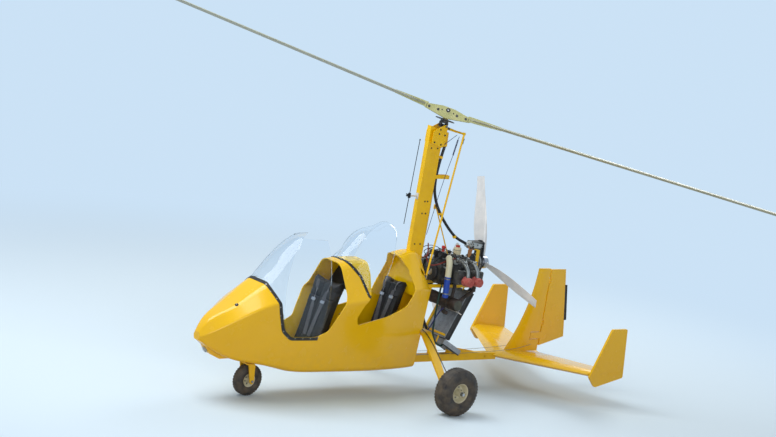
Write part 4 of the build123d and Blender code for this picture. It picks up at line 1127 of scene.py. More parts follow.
# %% Cap, bands and ring teeth
RING_UP = -0.068
RING_RADIUS = 0.0915
RING_TEETH = 72
BAND = [(-0.0025, -0.015), (0.0025, -0.015), (0.0025, 0.02), (-0.0025, 0.02)]
CAP = [(0, 0.022), (0.006, 0.022), (0.011, 0.018), (0.014, 0.009)]
assemble("tower_cap", "white_plastic", [
    (add_turned, on_hub(0, 0, 0.043), SPINDLE_UP, CAP),
], "rotor_tower")
assemble("blade_root_bands", "dark_steel", [
    (add_plate, BAND, on_hub(r, side * 0.0425, 0), BLADE_OUT, SPINDLE_UP, 0.003)
    for r in (-0.212, 0.212) for side in (-1, 1)
], "rotor")
teeth = []
for k in range(RING_TEETH):
    turn = 2 * math.pi * k / RING_TEETH
    aim = BLADE_OUT * math.cos(turn) + PLATES_ACROSS * math.sin(turn)
    teeth.append((on_hub(0, 0, RING_UP) + aim * RING_RADIUS, aim))
heads("starter_ring_teeth", teeth, 0.0032, 0.0035, "dark_steel", "rotor_tower", 4, 0.9)
print("tower cap, root bands and", RING_TEETH, "teeth")

# %% [markdown]
# Below the hub, nuts close the pitch pin outside the head plates, bolts hold the plates to the
# mast, and rod ends with lock nuts join the two control rods to the horn.

# %% Head plate bolts and rod ends
PIVOT = HUB_CENTRE - SPINDLE_UP * 0.128
PLATE_FACE = 0.053
MAST_FACE = 0.025
ROD_OUT = 0.138
PLATE_BOLTS = [(-0.105, 2.534), (-0.096, 2.576), (-0.031, 2.523), (-0.150, 2.452), (-0.062, 2.432)]
MAST_BOLTS = [
    (-0.113, 1.869), (-0.080, 1.869), (-0.124, 1.751), (-0.079, 1.751), (-0.150, 2.390), (-0.070, 2.390),
    (-0.150, 1.45), (-0.080, 1.45),
]
PIN_NUT = [(0, 0.013), (0.002, 0.013), (0.0025, 0.0105), (0.009, 0.0105), (0.0105, 0.009)]
ROD_END = [(0, 0.008), (0.002, 0.0125), (0.016, 0.0125), (0.018, 0.010)]


def side_marks(places, face):
    """Marks on both sides of a piece, at places (x, z)."""
    return [((x, side * face, z), (0, side, 0)) for x, z in places for side in (-1, 1)]


heads("head_plate_bolts", side_marks(PLATE_BOLTS, PLATE_FACE), 0.0068, 0.006, "dark_steel")
heads("mast_bolts", side_marks(MAST_BOLTS, MAST_FACE), 0.0062, 0.006, "dark_steel")
assemble("pitch_pin_nuts", "bolt_steel", [
    (add_turned, (PIVOT.x, side * 0.0535, PIVOT.z), (0, side, 0), PIN_NUT, 6) for side in (-1, 1)
], "gimbal")
for side, name in ((-1, "control_rod_port"), (1, "control_rod_starboard")):
    low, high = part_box(name)
    top = Vector((0.1455, side * ROD_OUT, high.z - 0.012))
    foot = Vector((-0.050, side * ROD_OUT, low.z))
    fall = (foot - top).normalized()
    assemble(name + "_lock_nuts", "bolt_steel", [
        (add_turned, top + fall * 0.045, fall, ROD_END + [(0.055, 0.010), (0.058, 0.0095)], 6),
        (add_turned, foot + Vector((0, 0, 0.012)) - fall * 0.06, -fall, ROD_END + [(0.05, 0.010)], 6),
    ], name)
print("head plates, pivot and rod ends")

# %% [markdown]
# A trim spring pulls the head's horn towards the mast through a thin cable, and a stay runs
# beside it. One end moves with the gimbal and the other is fixed, and each cable is one piece
# that rides on no body.

# %% Trim spring and cables
HORN_END = Vector((0.158, -0.052, 2.520))
SPRING_TOP = (0.150, -0.052, 2.488)
SPRING_FOOT = (0.120, -0.051, 2.335)
TRIM_CABLE = [SPRING_FOOT, (0.050, -0.045, 2.02), (-0.019, -0.036, 1.60), (-0.022, -0.030, 1.545)]
STAY_CABLE = [(0.148, -0.030, 2.530), (0.09, -0.03, 2.492), (0.02, -0.029, 2.440), (-0.028, -0.027, 2.400)]
# Columns: piece, its forms, places where the blend starts and ends
CABLES = [
    ("trim_spring_cable", [
        (add_coil, SPRING_TOP, SPRING_FOOT, 0.007, 0.002, 22),
        (add_tube, [HORN_END, (0.156, -0.052, 2.505), SPRING_TOP], 0.003, 6, 3),
        (add_tube, TRIM_CABLE, 0.0028, 6, 5),
    ], HORN_END, (0.09, -0.05, 2.20)),
    ("head_stay_cable", [(add_tube, STAY_CABLE, 0.0026, 6, 4)], (0.148, -0.03, 2.53), (-0.02, -0.03, 2.405)),
]
for name, rows, start, end in CABLES:
    cable = assemble(name, "navy_cord", rows, None)
    start, end = (tuple(Vector(spot) + DRAWING_TO_FRAME) for spot in (start, end))
    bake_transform(cable)
print("trim spring and stay cable")

# %% [markdown]
# The flexible shaft that spins the rotor up runs from the engine to the head. Yellow clamps hold
# it on its way, a ribbed ferrule ends it, and the aerial stands off the mast on a white arm.

# %% Shaft clamps and aerial arm
FERRULE_RIBS = 7
# Columns: height on the shaft, way the shaft runs there
CLAMPS = [(2.30, (0.2, 0, 1)), (1.749, (-0.55, 0, 1)), (1.523, (-0.9, 0, 0.8))]
ribs = []
for k in range(FERRULE_RIBS):
    spot = (0.0095 + 0.0042 * k, 0, 2.428 + 0.014 * k)
    ribs.append((add_turned, spot, (0.28, 0, 1), collar(0.0245, 0.008, 0.002, 0.0035), 20))
assemble("head_drive_ribs", "powder", ribs)
shaft_surface = surface_of("flex_shaft")
clamps = []
for height, aim in CLAMPS:
    hit, normal = on_surface(shaft_surface, (-0.3, 0, height), (1, 0, 0))
    if hit:
        start = hit + Vector((0.014, 0, 0)) - Vector(aim).normalized() * 0.012
        clamps.append((add_turned, start, aim, collar(0.0185, 0.024, 0.001, 0.003), 18))
assemble("shaft_clamps", "powder", clamps)
assemble("aerial_arm", "white_plastic", [
    (add_bar, (-0.300, 0, 1.915), (-0.199, 0, 1.915), 0.0085),
    (add_block, (-0.203, 0, 1.915), (0.006, 0.036, 0.060)),
])
AERIAL_TIP = [(0, 0.0035), (0.002, 0.0065), (0.012, 0.0065), (0.016, 0.003)]
assemble("aerial_foot", "cable_rubber", [
    (add_block, (-0.303, 0, 1.918), (0.026, 0.022, 0.050), 0.004, (0, -1.4, 0)),
    (add_bar, (-0.345, 0, 1.932), (-0.300, 0, 1.922), 0.006, 10),
    (add_turned, (-0.290, 0, 2.452), (0.024, 0, 1), AERIAL_TIP, 10),
])
print("clamps, ribs and aerial arm")

# %% [markdown]
# ## Engine
# The engine is a flat four. Its CAD masses stay, and here it gets what makes an engine look
# like one: ribbed covers on the heads, plugs with boots and leads, ignition boxes, carburettors,
# clamps, a belt cover, pipes and wiring. Fittings of one finish are one piece, so the part
# stays easy to repaint.

# %% Head covers and plugs
CRANK_UP = 1.175
JUG_X = (0.312, 0.512)
COVER_RIBS = 5
PLUG_UP = 1.236
PLUG = [(0, 0.010), (0.008, 0.010), (0.009, 0.0075), (0.016, 0.006)]
BOOT = [(0, 0.0075), (0.004, 0.0088), (0.026, 0.008), (0.034, 0.0045)]
covers, cover_marks, plugs, boots, leads = [], [], [], [], []
for side in (-1, 1):
    plug_way = Vector((0, side * 0.25, 1)).normalized()
    for x in JUG_X:
        covers.append((add_block, (x, side * 0.286, CRANK_UP - 0.002), (0.126, 0.012, 0.112), 0.005))
        for rib in range(COVER_RIBS):
            spot = (x - 0.044 + 0.022 * rib, side * 0.2935, CRANK_UP - 0.002)
            covers.append((add_block, spot, (0.005, 0.005, 0.094), 0.0015))
        corners = [(a, b) for a in (-0.055, 0.055) for b in (-0.048, 0.046)]
        cover_marks += [((x + a, side * 0.292, CRANK_UP + b), (0, side, 0)) for a, b in corners]
        for step, reach, inner in ((-0.03, 0.246, 0.045), (0.03, 0.262, 0.063)):
            spot = Vector((x + step, side * reach, PLUG_UP))
            top = spot + plug_way * 0.014
            plugs.append((add_turned, spot, plug_way, PLUG, 6))
            boots.append((add_turned, top, plug_way, BOOT, 12))
            start = top + plug_way * 0.03
            end = Vector((0.232, side * inner, 1.332 if x > 0.4 else 1.352))
            bend = start.lerp(end, 0.55) + Vector((0, side * 0.02, 0.05))
            rise = start + Vector((-0.015, side * 0.012, 0.035))
            leads.append((add_tube, [start, rise, bend, end], 0.0038, 6))
assemble("head_covers", "casting", covers)
heads("head_cover_bolts", cover_marks, 0.0052, 0.005, "bolt_steel")
assemble("spark_plugs", "bright_alloy", plugs)
assemble("plug_boots", "cable_rubber", boots)
assemble("plug_leads", "cable_rubber", leads)
print("heads:", len(plugs), "plugs")

# %% [markdown]
# Cast ribs run along the crankcase, and studs hold its two halves together down the middle. The
# gearbox is two round housings with a flange between them, and bolts stand where the rings of
# the two don't cover each other.

# %% Crankcase, gearbox and their bolts
PROP_UP = 1.270
GEAR_UP = 1.165
GEAR_BOLT_X = 0.730
# Columns: flange's x, height, radius, length
FLANGES = [(0.708, PROP_UP, 0.0885, 0.010), (0.708, GEAR_UP, 0.0945, 0.010), (0.655, PROP_UP, 0.087, 0.014)]
ribs = []
for side in (-1, 1):
    for k in range(9):
        ribs.append((add_block, (0.20 + 0.05 * k, side * 0.078, CRANK_UP + 0.094), (0.006, 0.05, 0.010)))
    for up in (-0.078, 0.080):
        ribs.append((add_block, (0.405, side * 0.1065, CRANK_UP + up), (0.42, 0.008, 0.012), 0.003))
assemble("crankcase_ribs", "casting", ribs)
studs = [((0.215 + 0.054 * k, side * 0.028, 1.305), (0, 0, 1)) for k in range(8) for side in (-1, 1)]
heads("crankcase_studs", studs, 0.006, 0.008, "bolt_steel")
gear_marks = []
for k in range(10):
    turn = 2 * math.pi * k / 10 + 0.3
    for centre_up, other_up, radius in ((PROP_UP, GEAR_UP, 0.076), (GEAR_UP, PROP_UP, 0.082)):
        spot = Vector((GEAR_BOLT_X, radius * math.cos(turn), centre_up + radius * math.sin(turn)))
        if (spot - Vector((GEAR_BOLT_X, 0, other_up))).length > 0.094:
            gear_marks.append((spot, (1, 0, 0)))
heads("gearbox_bolts", gear_marks, 0.0058, 0.006, "bolt_steel")
assemble("gearbox_flanges", "bright_alloy", [
    (add_turned, (x, 0, up), (1, 0, 0), collar(radius, length, 0.002, 0.0025), 48)
    for x, up, radius, length in FLANGES
])
print("crankcase:", len(studs), "studs; gearbox:", len(gear_marks), "bolts")

# %% [markdown]
# Two carburettors stand at the back of the intake pipes on each side, with silver bodies,
# black caps and a balance pipe between them. The flywheel cover with its sensor plate is at the
# engine's front, and the starter motor lies on top.

# %% Carburettors, flywheel cover and starter
CARB_X = (0.34, 0.465)
CARB_Y = 0.118
PIPE_CLAMP = [(0, 0.023), (0.003, 0.0255), (0.010, 0.0255), (0.012, 0.022)]
CARB_CAP = [(0, 0.020), (0.004, 0.0225), (0.018, 0.0225), (0.024, 0.016)]
CARB_STUD = [(0, 0.010), (0.006, 0.010), (0.008, 0.006), (0.014, 0.004)]
FLYWHEEL = [(0, 0.082), (0.006, 0.086), (0.026, 0.086), (0.036, 0.076), (0.038, 0.040)]
FLYWHEEL_BOLT_RADIUS = 0.079
STARTER_END = [(0, 0.024), (0.004, 0.027), (0.034, 0.027), (0.038, 0.022)]
OIL_FILTER = [(0, 0.030), (0.003, 0.036), (0.070, 0.036), (0.080, 0.030)]
silver, black = [], []
for side in (-1, 1):
    for x in CARB_X:
        silver += [
            (add_turned, (x, side * 0.150, 1.324), (0, side, 0.28), PIPE_CLAMP, 20),
            (add_turned, (x, side * 0.250, 1.318), (0, side, -0.4), PIPE_CLAMP, 20),
            (add_block, (x, side * CARB_Y, 1.300), (0.060, 0.046, 0.052), 0.008),
        ]
        black.append((add_turned, (x, side * CARB_Y, 1.326), (0, 0, 1), CARB_CAP, 20))
        silver.append((add_turned, (x, side * CARB_Y, 1.350), (0, 0, 1), CARB_STUD, 12))
    silver.append((add_bar, (0.352, side * 0.116, 1.292), (0.453, side * 0.116, 1.292), 0.009))
silver += [
    (add_turned, (0.134, 0, CRANK_UP), (-1, 0, 0), [(0, 0.034), (0.004, 0.034), (0.006, 0.030)]),
    (add_turned, (0.470, 0.062, 1.300), (1, 0, 0), collar(0.031, 0.098, 0.004, 0.005)),
]
black += [
    (add_turned, (0.172, 0, CRANK_UP), (-1, 0, 0), FLYWHEEL, 40),
    (add_turned, (0.566, 0.062, 1.300), (1, 0, 0), STARTER_END),
    (add_turned, (0.225, -0.104, 1.115), (0, -1, 0), OIL_FILTER, 28),
]
assemble("silver_engine_fittings", "bright_alloy", silver)
assemble("black_engine_fittings", "black_plastic", black)
flywheel_marks = []
for turn in (0.5, 1.55, 2.6, 3.65, 4.7, 5.75):
    a, b = FLYWHEEL_BOLT_RADIUS * math.cos(turn), FLYWHEEL_BOLT_RADIUS * math.sin(turn)
    flywheel_marks.append(((0.146, a, CRANK_UP + b), (-1, 0, 0)))
heads("flywheel_cover_bolts", flywheel_marks, 0.005, 0.005, "bolt_steel")
boxes = []
for side in (-1, 1):
    boxes.append((add_block, (0.215, side * 0.058, 1.345), (0.070, 0.078, 0.034), 0.005))
    for k in range(6):
        boxes.append((add_block, (0.188 + 0.011 * k, side * 0.058, 1.364), (0.004, 0.068, 0.010), 0.0012))
    boxes.append((add_block, (0.215, side * 0.030, 1.316), (0.050, 0.012, 0.030)))
assemble("ignition_boxes", "black_plastic", boxes)
print("carburettors, covers, starter and ignition boxes")

# %% [markdown]
# The exhaust's down pipes end in flanges with two nuts each, springs hold the slip joints, and
# plain discs close the silencer's ends.

# %% Exhaust flanges and silencer ends
SILENCER = (0.300, 0.905)
SPRINGS_LENGTH = Vector((0, 0, -0.050))
END_DISC = [(-0.004, 0.0505), (0.002, 0.0505), (0.0035, 0.048), (0.0036, 0.030), (0.0015, 0.026)]
TAIL_PIPE = [(0.300, -0.10, 0.850), (0.300, -0.10, 0.815), (0.325, -0.10, 0.79), (0.355, -0.10, 0.78)]
DOWN = (0, 0, -1)
flanges, springs, ends, flange_marks = [], [], [], []
for side in (-1, 1):
    for x, reach in zip(JUG_X, (0.190, 0.255)):
        y = side * reach
        flanges.append((add_turned, (x, y, 1.100), DOWN, collar(0.028, 0.007, 0.001, 0.002)))
        flanges.append((add_turned, (x + 0.004, y, 1.048), DOWN, collar(0.0195, 0.012, 0.002, 0.002)))
        flange_marks += [((x + a, y, 1.094), DOWN) for a in (-0.0215, 0.0215)]
        for a in (-0.0205, 0.0205):
            spot = Vector((x + 0.004, y + a, 1.085))
            springs.append((add_coil, spot, spot + SPRINGS_LENGTH, 0.0045, 0.0012, 10))
    ends.append((add_turned, (SILENCER[0], side * 0.2995, SILENCER[1]), (0, side, 0), END_DISC, 36))
    for y in (0.18, 0.06):
        spot = (SILENCER[0], side * y, SILENCER[1])
        flanges.append((add_turned, spot, (0, side, 0), collar(0.0625, 0.018, 0.002, 0.003), 40))
assemble("exhaust_flanges", "dark_steel", flanges)
assemble("exhaust_springs", "bolt_steel", springs)
heads("exhaust_nuts", flange_marks, 0.005, 0.005, "bolt_steel")
assemble("silencer_ends", "silencer_olive", ends)
assemble("tail_pipe", "exhaust_black", [(add_tube, TAIL_PIPE, 0.021, 16)])
print("exhaust: flanges, springs, ends and tail pipe")

# %% [markdown]
# ## Cooling
# The radiator leans back under the engine in a frame: a yellow rail along its far edge, black
# ones along its near and trailing edges, and end tanks above and below. Its core is a dense row of
# fins, which the row tree repeats along the core. The oil cooler below it is made alike.


# %% Cooler axes
def cooler_axes(degrees):
    """A cooler's own axes: along it, across it and out of it."""
    lean = math.radians(degrees)
    along = Vector((math.cos(lean), 0, math.sin(lean)))
    return along, Vector((0, 1, 0)), Vector((-along.z, 0, along.x))


RADIATOR = (Vector((0.478, 0, 0.765)), *cooler_axes(64.5))
OIL_COOLER = (Vector((0.512, 0, 0.424)), *cooler_axes(-27))


def slab(bm, cooler, place, size):
    """A box on a cooler's own axes: place and size run along it, across it and out of it."""
    middle, along, across, out = cooler
    centre = middle + along * place[0] + across * place[1] + out * place[2]
    a, b, c = (s / 2 for s in size)
    rings = []
    for lift in (-c, c):
        square = ((-1, -1), (1, -1), (1, 1), (-1, 1))
        rings.append([centre + along * (a * i) + across * (b * j) + out * lift for i, j in square])
    skin_rings(bm, rings)


def slabs(name, colour, rows, bevel=0.0, segments=1):
    """One piece from rows of (cooler, place, size), with its edges bevelled where it has any bevel."""
    bm = bmesh.new()
    for row in rows:
        slab(bm, *row)
    if bevel:
        bmesh.ops.bevel(bm, geom=list(bm.edges), offset=bevel, segments=segments, affect="EDGES")
    make_piece(name, bm, colour)


print("cooler axes ready")

# %% [markdown]
# A core is thin sheets pressed on flat tubes. The sheets are seen edge on, so their pitch is what
# makes a core look like one, and real sheets give it where a bump would only look striped.

# %% Cooler cores
CORE_TUBES = 9
# Columns: piece, cooler, length, width, thickness, pitch of the fins
CORES = [
    ("radiator", RADIATOR, 0.430, 0.270, 0.056, 0.0062),
    ("oil_cooler", OIL_COOLER, 0.220, 0.196, 0.050, 0.0068),
]
for name, cooler, length, width, thick, pitch in CORES:
    middle, along, across, out = cooler
    fin = bmesh.new()
    slab(fin, (Vector(), along, across, out), (0, 0, 0), (0.0018, width, thick + 0.005))
    count = int(length / pitch)
    start = middle - along * (pitch * (count - 1) / 2)
    fins = [{"Count": count, "Start": start, "Step": along * pitch}]
    repeats(name + "_fins", fin, row_tree, fins, "core_alloy")
    places = [(k - CORE_TUBES // 2) * width / CORE_TUBES for k in range(CORE_TUBES)]
    tubes = [(cooler, (0, y, 0), (length, 0.004, thick + 0.0065)) for y in places]
    slabs(name + "_tubes", "core_alloy", tubes)
    print(name, count, "fins")


# %% [markdown]
# Folded rails hold each core at its edges, and the tanks at its ends carry the hoses. The rails
# are separate pieces by colour, because the yellow ones are painted with the frame.

# %% Cooler frames and tanks
black_rails = [(RADIATOR, (0, -0.1515, -0.006), (0.520, 0.003, 0.052))]
tanks = []
for side in (-1, 1):
    black_rails += [
        (RADIATOR, (0, side * 0.146, -0.036), (0.520, 0.024, 0.020)),
        (RADIATOR, (side * 0.238, 0, -0.036), (0.050, 0.290, 0.018)),
        (OIL_COOLER, (0, side * 0.09928, -0.026), (0.270, 0.008, 0.012)),
    ]
    tanks.append((RADIATOR, (side * 0.238, 0, 0), (0.042, 0.290, 0.064)))
    tanks.append((OIL_COOLER, (side * 0.12376, 0, 0), (0.026, 0.198, 0.056)))
slabs("radiator_front_rails", "powder", [
    (RADIATOR, (-0.010, 0.146, 0.034), (0.500, 0.026, 0.018)),
    (RADIATOR, (-0.235, 0, 0.036), (0.022, 0.290, 0.012)),
], 0.002)
slabs("radiator_rear_rails", "control_paint", black_rails, 0.002)
slabs("cooler_tanks", "pipe_alloy", tanks, 0.006, 2)
slabs("radiator_strap", "white_plastic", [
    (RADIATOR, (0.02, 0, 0.0335), (0.010, 0.290, 0.006)),
    (RADIATOR, (0.02, -0.1515, 0.0), (0.010, 0.004, 0.070)),
])
print("cooler frames, tanks and strap")

# %% [markdown]
# ## Hoses and wiring
# Coolant, oil and fuel run in hoses of different colours, and the wiring is bundled and taped.
# Both ends of each one are fixed to something, so these are fixed pieces and not free cords. A table
# gives each run's finish, radius and path, and worm-drive clamps close the larger ends.

# %% Hoses and wiring
THICK_HOSE = 0.009
# Columns: name, finish, slot, radius, path
RUNS = [
    ("upper_coolant_hose", "cable_rubber", "black_rubber", 0.016, [
        (0.580, -0.10, 0.985), (0.600, -0.12, 1.02), (0.585, -0.135, 1.06), (0.560, -0.118, 1.10),
    ]),
    ("lower_coolant_hose", "cable_rubber", "black_rubber", 0.016, [
        (0.372, 0.11, 0.555), (0.33, 0.12, 0.57), (0.26, 0.13, 0.70), (0.20, 0.13, 0.90), (0.19, 0.11, 1.10),
    ]),
    ("oil_hose_port", "green_hose", "black_rubber", 0.0095, [
        (0.225, -0.100, 1.07), (0.205, -0.112, 0.92), (0.205, -0.108, 0.72), (0.232, -0.090, 0.58),
        (0.30, -0.078, 0.475), (0.385, -0.070, 0.435), (0.415, -0.066, 0.452),
    ]),
    ("oil_hose_starboard", "green_hose", "black_rubber", 0.0095, [
        (0.30, 0.10, 1.08), (0.27, 0.15, 0.98), (0.24, 0.125, 0.80), (0.26, 0.10, 0.60), (0.32, 0.085, 0.49),
        (0.385, 0.075, 0.44), (0.415, 0.070, 0.452),
    ]),
    ("drain_hose", "navy_cord", "hose_blue", 0.0065, [
        (0.255, -0.15, 0.845), (0.215, -0.155, 0.815), (0.175, -0.145, 0.74), (0.160, -0.120, 0.66),
        (0.150, -0.09, 0.60),
    ]),
    ("fuel_hose_port", "maroon_hose", "black_rubber", 0.0062, [
        (-0.010, -0.062, 1.470), (0.004, -0.064, 1.39), (0.010, -0.060, 1.31), (0.05, -0.085, 1.26),
        (0.12, -0.110, 1.27), (0.22, -0.128, 1.31), (0.32, -0.13, 1.335),
    ]),
    ("fuel_hose_starboard", "maroon_hose", "black_rubber", 0.0062, [
        (-0.010, 0.062, 1.45), (0.02, 0.066, 1.36), (0.09, 0.09, 1.29), (0.20, 0.125, 1.315),
        (0.32, 0.13, 1.335),
    ]),
    ("throttle_cable_port", "cable_rubber", "black_rubber", 0.0035, [
        (-0.02, -0.05, 1.30), (0.06, -0.08, 1.40), (0.18, -0.10, 1.42), (0.30, -0.118, 1.385),
        (0.34, -0.118, 1.355),
    ]),
    ("throttle_cable_starboard", "cable_rubber", "black_rubber", 0.0035, [
        (-0.02, 0.05, 1.30), (0.06, 0.08, 1.39), (0.18, 0.10, 1.41), (0.30, 0.118, 1.385),
        (0.34, 0.118, 1.355),
    ]),
    ("main_loom", "cable_rubber", "black_rubber", 0.0085, [
        (-0.02, -0.045, 1.16), (0.04, -0.075, 1.20), (0.10, -0.085, 1.30), (0.17, -0.080, 1.345),
        (0.215, -0.062, 1.350),
    ]),
    ("sensor_loom", "cable_rubber", "black_rubber", 0.0048, [
        (0.245, -0.05, 1.34), (0.32, -0.072, 1.335), (0.42, -0.070, 1.325), (0.52, -0.075, 1.320),
        (0.60, -0.07, 1.325), (0.64, -0.05, 1.38),
    ]),
    ("starter_lead", "cable_rubber", "black_rubber", 0.0055, [
        (0.245, 0.05, 1.335), (0.33, 0.068, 1.325), (0.42, 0.078, 1.325), (0.475, 0.075, 1.325),
    ]),
    ("breather_hose", "pipe_alloy", "intake_alloy", 0.011, [
        (0.20, -0.115, 1.245), (0.19, -0.165, 1.24), (0.215, -0.19, 1.17), (0.225, -0.185, 1.08),
        (0.235, -0.165, 1.00), (0.255, -0.15, 0.960),
    ]),
    ("overflow_hose", "white_plastic", "bottle_cream", 0.0045, [
        (0.402, -0.052, 1.452), (0.36, -0.075, 1.475), (0.30, -0.10, 1.43), (0.255, -0.118, 1.36),
    ]),
    ("mast_loom", "cable_rubber", "black_rubber", 0.0055, [
        (-0.026, -0.012, 1.20), (-0.024, -0.014, 1.6), (-0.024, -0.014, 2.0), (-0.025, -0.012, 2.38),
    ]),
]
for name, colour, slot, radius, path in RUNS:
    assemble(name, colour, [(add_tube, path, radius, 12 if radius > THICK_HOSE else 8)])
print("runs:", len(RUNS))

# %% [markdown]
# A worm-drive clamp is a thin steel band that stands a little proud of its hose.

# %% Hose clamps
# Columns: middle of the clamp, way the hose runs there, hose radius
HOSE_CLAMPS = [
    ((0.590, -0.107, 1.000), (0.3, -0.3, 1), 0.017), ((0.568, -0.122, 1.090), (-0.3, 0.2, 1), 0.017),
    ((0.350, 0.115, 0.562), (-1, 0.2, 0.3), 0.017), ((0.190, 0.112, 1.075), (0, -0.1, 1), 0.017),
    ((0.192, -0.203, 1.150), (0, 0, 1), 0.031), ((0.198, -0.205, 1.005), (0.05, 0, -1), 0.031),
    ((0.226, -0.140, 1.338), (-1, -0.8, 0.5), 0.031),
]
bands = []
for spot, way, radius in HOSE_CLAMPS:
    start = Vector(spot) - Vector(way).normalized() * 0.006
    bands.append((add_turned, start, way, collar(radius + 0.0018, 0.012, 0.001, 0.0016)))
assemble("hose_bands", "bolt_steel", bands)
print("clamps:", len(bands))

# %% [markdown]
# ## Rotor drive and small fittings behind the mast
# The rotor is spun up from the gearbox: a silver casting above it meets the flexible shaft, a
# black cover hides the belt, a yellow plate carries them, and an orange-brown bracket holds
# the cable. The expansion bottle has a red cap and a strap.

# %% Rotor drive and bottle
FORE_AFT = Vector((1, 0, 0))
SIDEWAYS = Vector((0, 1, 0))
UPWARDS = Vector((0, 0, 1))
CARRIER = (0.642, -0.094)
BOTTLE = (0.402, -0.050)
DRIVE_NECK = [(0, 0.020), (0.004, 0.024), (0.030, 0.024), (0.034, 0.034), (0.062, 0.036), (0.070, 0.040)]
FILLER_CAP = [(0, 0.015), (0.03, 0.015), (0.034, 0.021), (0.052, 0.021), (0.056, 0.016)]
BOTTLE_CAP = [(0, 0.019), (0.002, 0.0215), (0.020, 0.0215), (0.0225, 0.018)]
BRACKET = [(-0.030, 0.032), (0.030, 0.040), (0.022, -0.020), (-0.006, -0.050), (-0.026, -0.020)]
# Columns: height of the belt wheel, half width and half height of its end of the cover, first turn
BELT_ENDS = [(1.452, 0.052, 0.040, 0), (1.262, 0.070, 0.062, math.pi)]
belt_outline = []
for height, wide, tall, first in BELT_ENDS:
    for k in range(13):
        turn = first + math.pi * k / 12
        belt_outline.append((wide * math.cos(turn), height + tall * math.sin(turn)))
assemble("rotor_drive_casting", "bright_alloy", [
    (add_turned, (0.545, 0, 1.447), (1, 0, -0.06), DRIVE_NECK, 28),
    (add_block, (0.668, -0.020, 1.440), (0.112, 0.058, 0.060), 0.010, (0, 2, 0)),
    (add_block, (0.668, -0.047, 1.452), (0.148, 0.008, 0.030), 0.003, (0, 9, 0)),
])
drive_bolts = [((x, -0.0515, z), (0, -1, 0)) for x, z in ((0.605, 1.461), (0.665, 1.452), (0.728, 1.442))]
heads("rotor_drive_bolts", drive_bolts, 0.0058, 0.005, "dark_steel")
assemble("belt_cover", "black_plastic", [
    (add_plate, belt_outline, (0.7445, -0.004, 0), SIDEWAYS, UPWARDS, 0.016),
])
hanging = [(-0.020, 0), (0.020, 0), (0.026, -0.170), (-0.012, -0.170)]
shelf = [(-0.016, 0), (0.016, 0), (0.016, 0.048), (-0.016, 0.048)]
assemble("drive_carrier_plate", "powder", [
    (add_plate, hanging, (*CARRIER, 1.412), FORE_AFT, UPWARDS, 0.006),
    (add_plate, shelf, (*CARRIER, 1.409), FORE_AFT, SIDEWAYS, 0.006),
])
assemble("cable_bracket", "copper_brown", [
    (add_plate, BRACKET, (0.527, -0.100, 1.385), FORE_AFT, UPWARDS, 0.004),
    (add_bar, (0.521, -0.100, 1.350), (0.505, -0.095, 1.300), 0.006, 8),
    (add_bar, (0.527, -0.102, 1.400), (0.560, -0.030, 1.430), 0.006, 8),
])
assemble("bottle_cap", "red_cap", [
    (add_turned, (*BOTTLE, 1.430), UPWARDS, BOTTLE_CAP, 16),
])
assemble("bottle_strap", "bolt_steel", [
    (add_turned, (*BOTTLE, 1.345), UPWARDS, collar(0.0396, 0.016, 0.001, 0.0014), 32),
    (add_turned, (*BOTTLE, 1.400), UPWARDS, collar(0.0392, 0.005, 0.001, 0.001), 32),
])
assemble("engine_filler_cap", "red_cap", [
    (add_turned, (0.234, -0.030, 1.380), UPWARDS, FILLER_CAP, 18),
])
print("rotor drive, bracket and bottle")

# %% [markdown]
# ## Propeller hub
# Six bolts clamp the three blades between the hub's halves, and each blade's root has a bright
# collar. They ride on the propeller.

# %% Propeller hub
PROP_CENTRE = Vector((0.820, 0, PROP_UP))
PROP_BLADES = 3
FIRST_BLADE = 15


def round_hub(x, radius, turns):
    """Places on a circle round the propeller's axis."""
    return [PROP_CENTRE + Vector((x, radius * math.cos(t), radius * math.sin(t))) for t in turns]


turns = [math.radians(60 * k + 30) for k in range(6)]
bolts = [(spot, (1, 0, 0)) for spot in round_hub(0.0305, 0.040, turns)]
heads("prop_hub_bolts", bolts, 0.0062, 0.006, "dark_steel", "propeller")
collars = []
for k in range(PROP_BLADES):
    turn = math.radians(FIRST_BLADE + 360 / PROP_BLADES * k)
    out = Vector((0, math.sin(turn), math.cos(turn)))
    collars.append((add_turned, PROP_CENTRE + out * 0.058, out, collar(0.029, 0.014, 0.002, 0.003)))
assemble("prop_collars", "bright_alloy", collars, "propeller")
bolts = [(spot, (-1, 0, 0)) for spot in round_hub(-0.0445, 0.036, (0, 1.05, 2.09, 3.14, 4.19, 5.24))]
heads("prop_flange_bolts", bolts, 0.005, 0.005, "bolt_steel", "propeller")
print("propeller hub dressed")

# %% [markdown]
# ## Nose and cockpits
# The chin lamp is a clear lens over a bowl, set in a bright ring. The cowl carries a small round
# black fitting with a bright stud, set where a ray from above meets the shell.

# %% Nose fittings
LAMP_WAY = Vector((-0.84, 0, -0.54))
LAMP_PLACE = Vector((-2.4295, 0, 0.449))
LENS = [(0, 0.0265), (0.003, 0.025), (0.006, 0.019), (0.0075, 0.010)]
VENT = [(0, 0.017), (0.003, 0.017), (0.005, 0.013), (0.009, 0.009)]
STUD = [(0, 0.0055), (0.003, 0.0055), (0.0045, 0.0035)]
assemble("lamp_ring", "bright_alloy", [
    (add_turned, LAMP_PLACE, LAMP_WAY, [(-0.004, 0.027), (0.004, 0.030), (0.008, 0.030), (0.010, 0.027)], 32),
])
assemble("lamp_lens", "lens_clear", [
    (add_turned, LAMP_PLACE + LAMP_WAY * 0.009, LAMP_WAY, LENS, 32),
])
hit, normal = on_surface(surface_of("tub_shell"), (-2.234, -0.100, 1.4), (0, 0, -1))
vent = [(add_turned, hit - normal * 0.002, normal, VENT)]
assemble("cowl_vent", "black_plastic", vent)
stud = [(add_turned, hit + normal * 0.006, normal, STUD, 12)]
assemble("cowl_vent_stud", "bright_alloy", stud)
print("nose: lamp and vent")

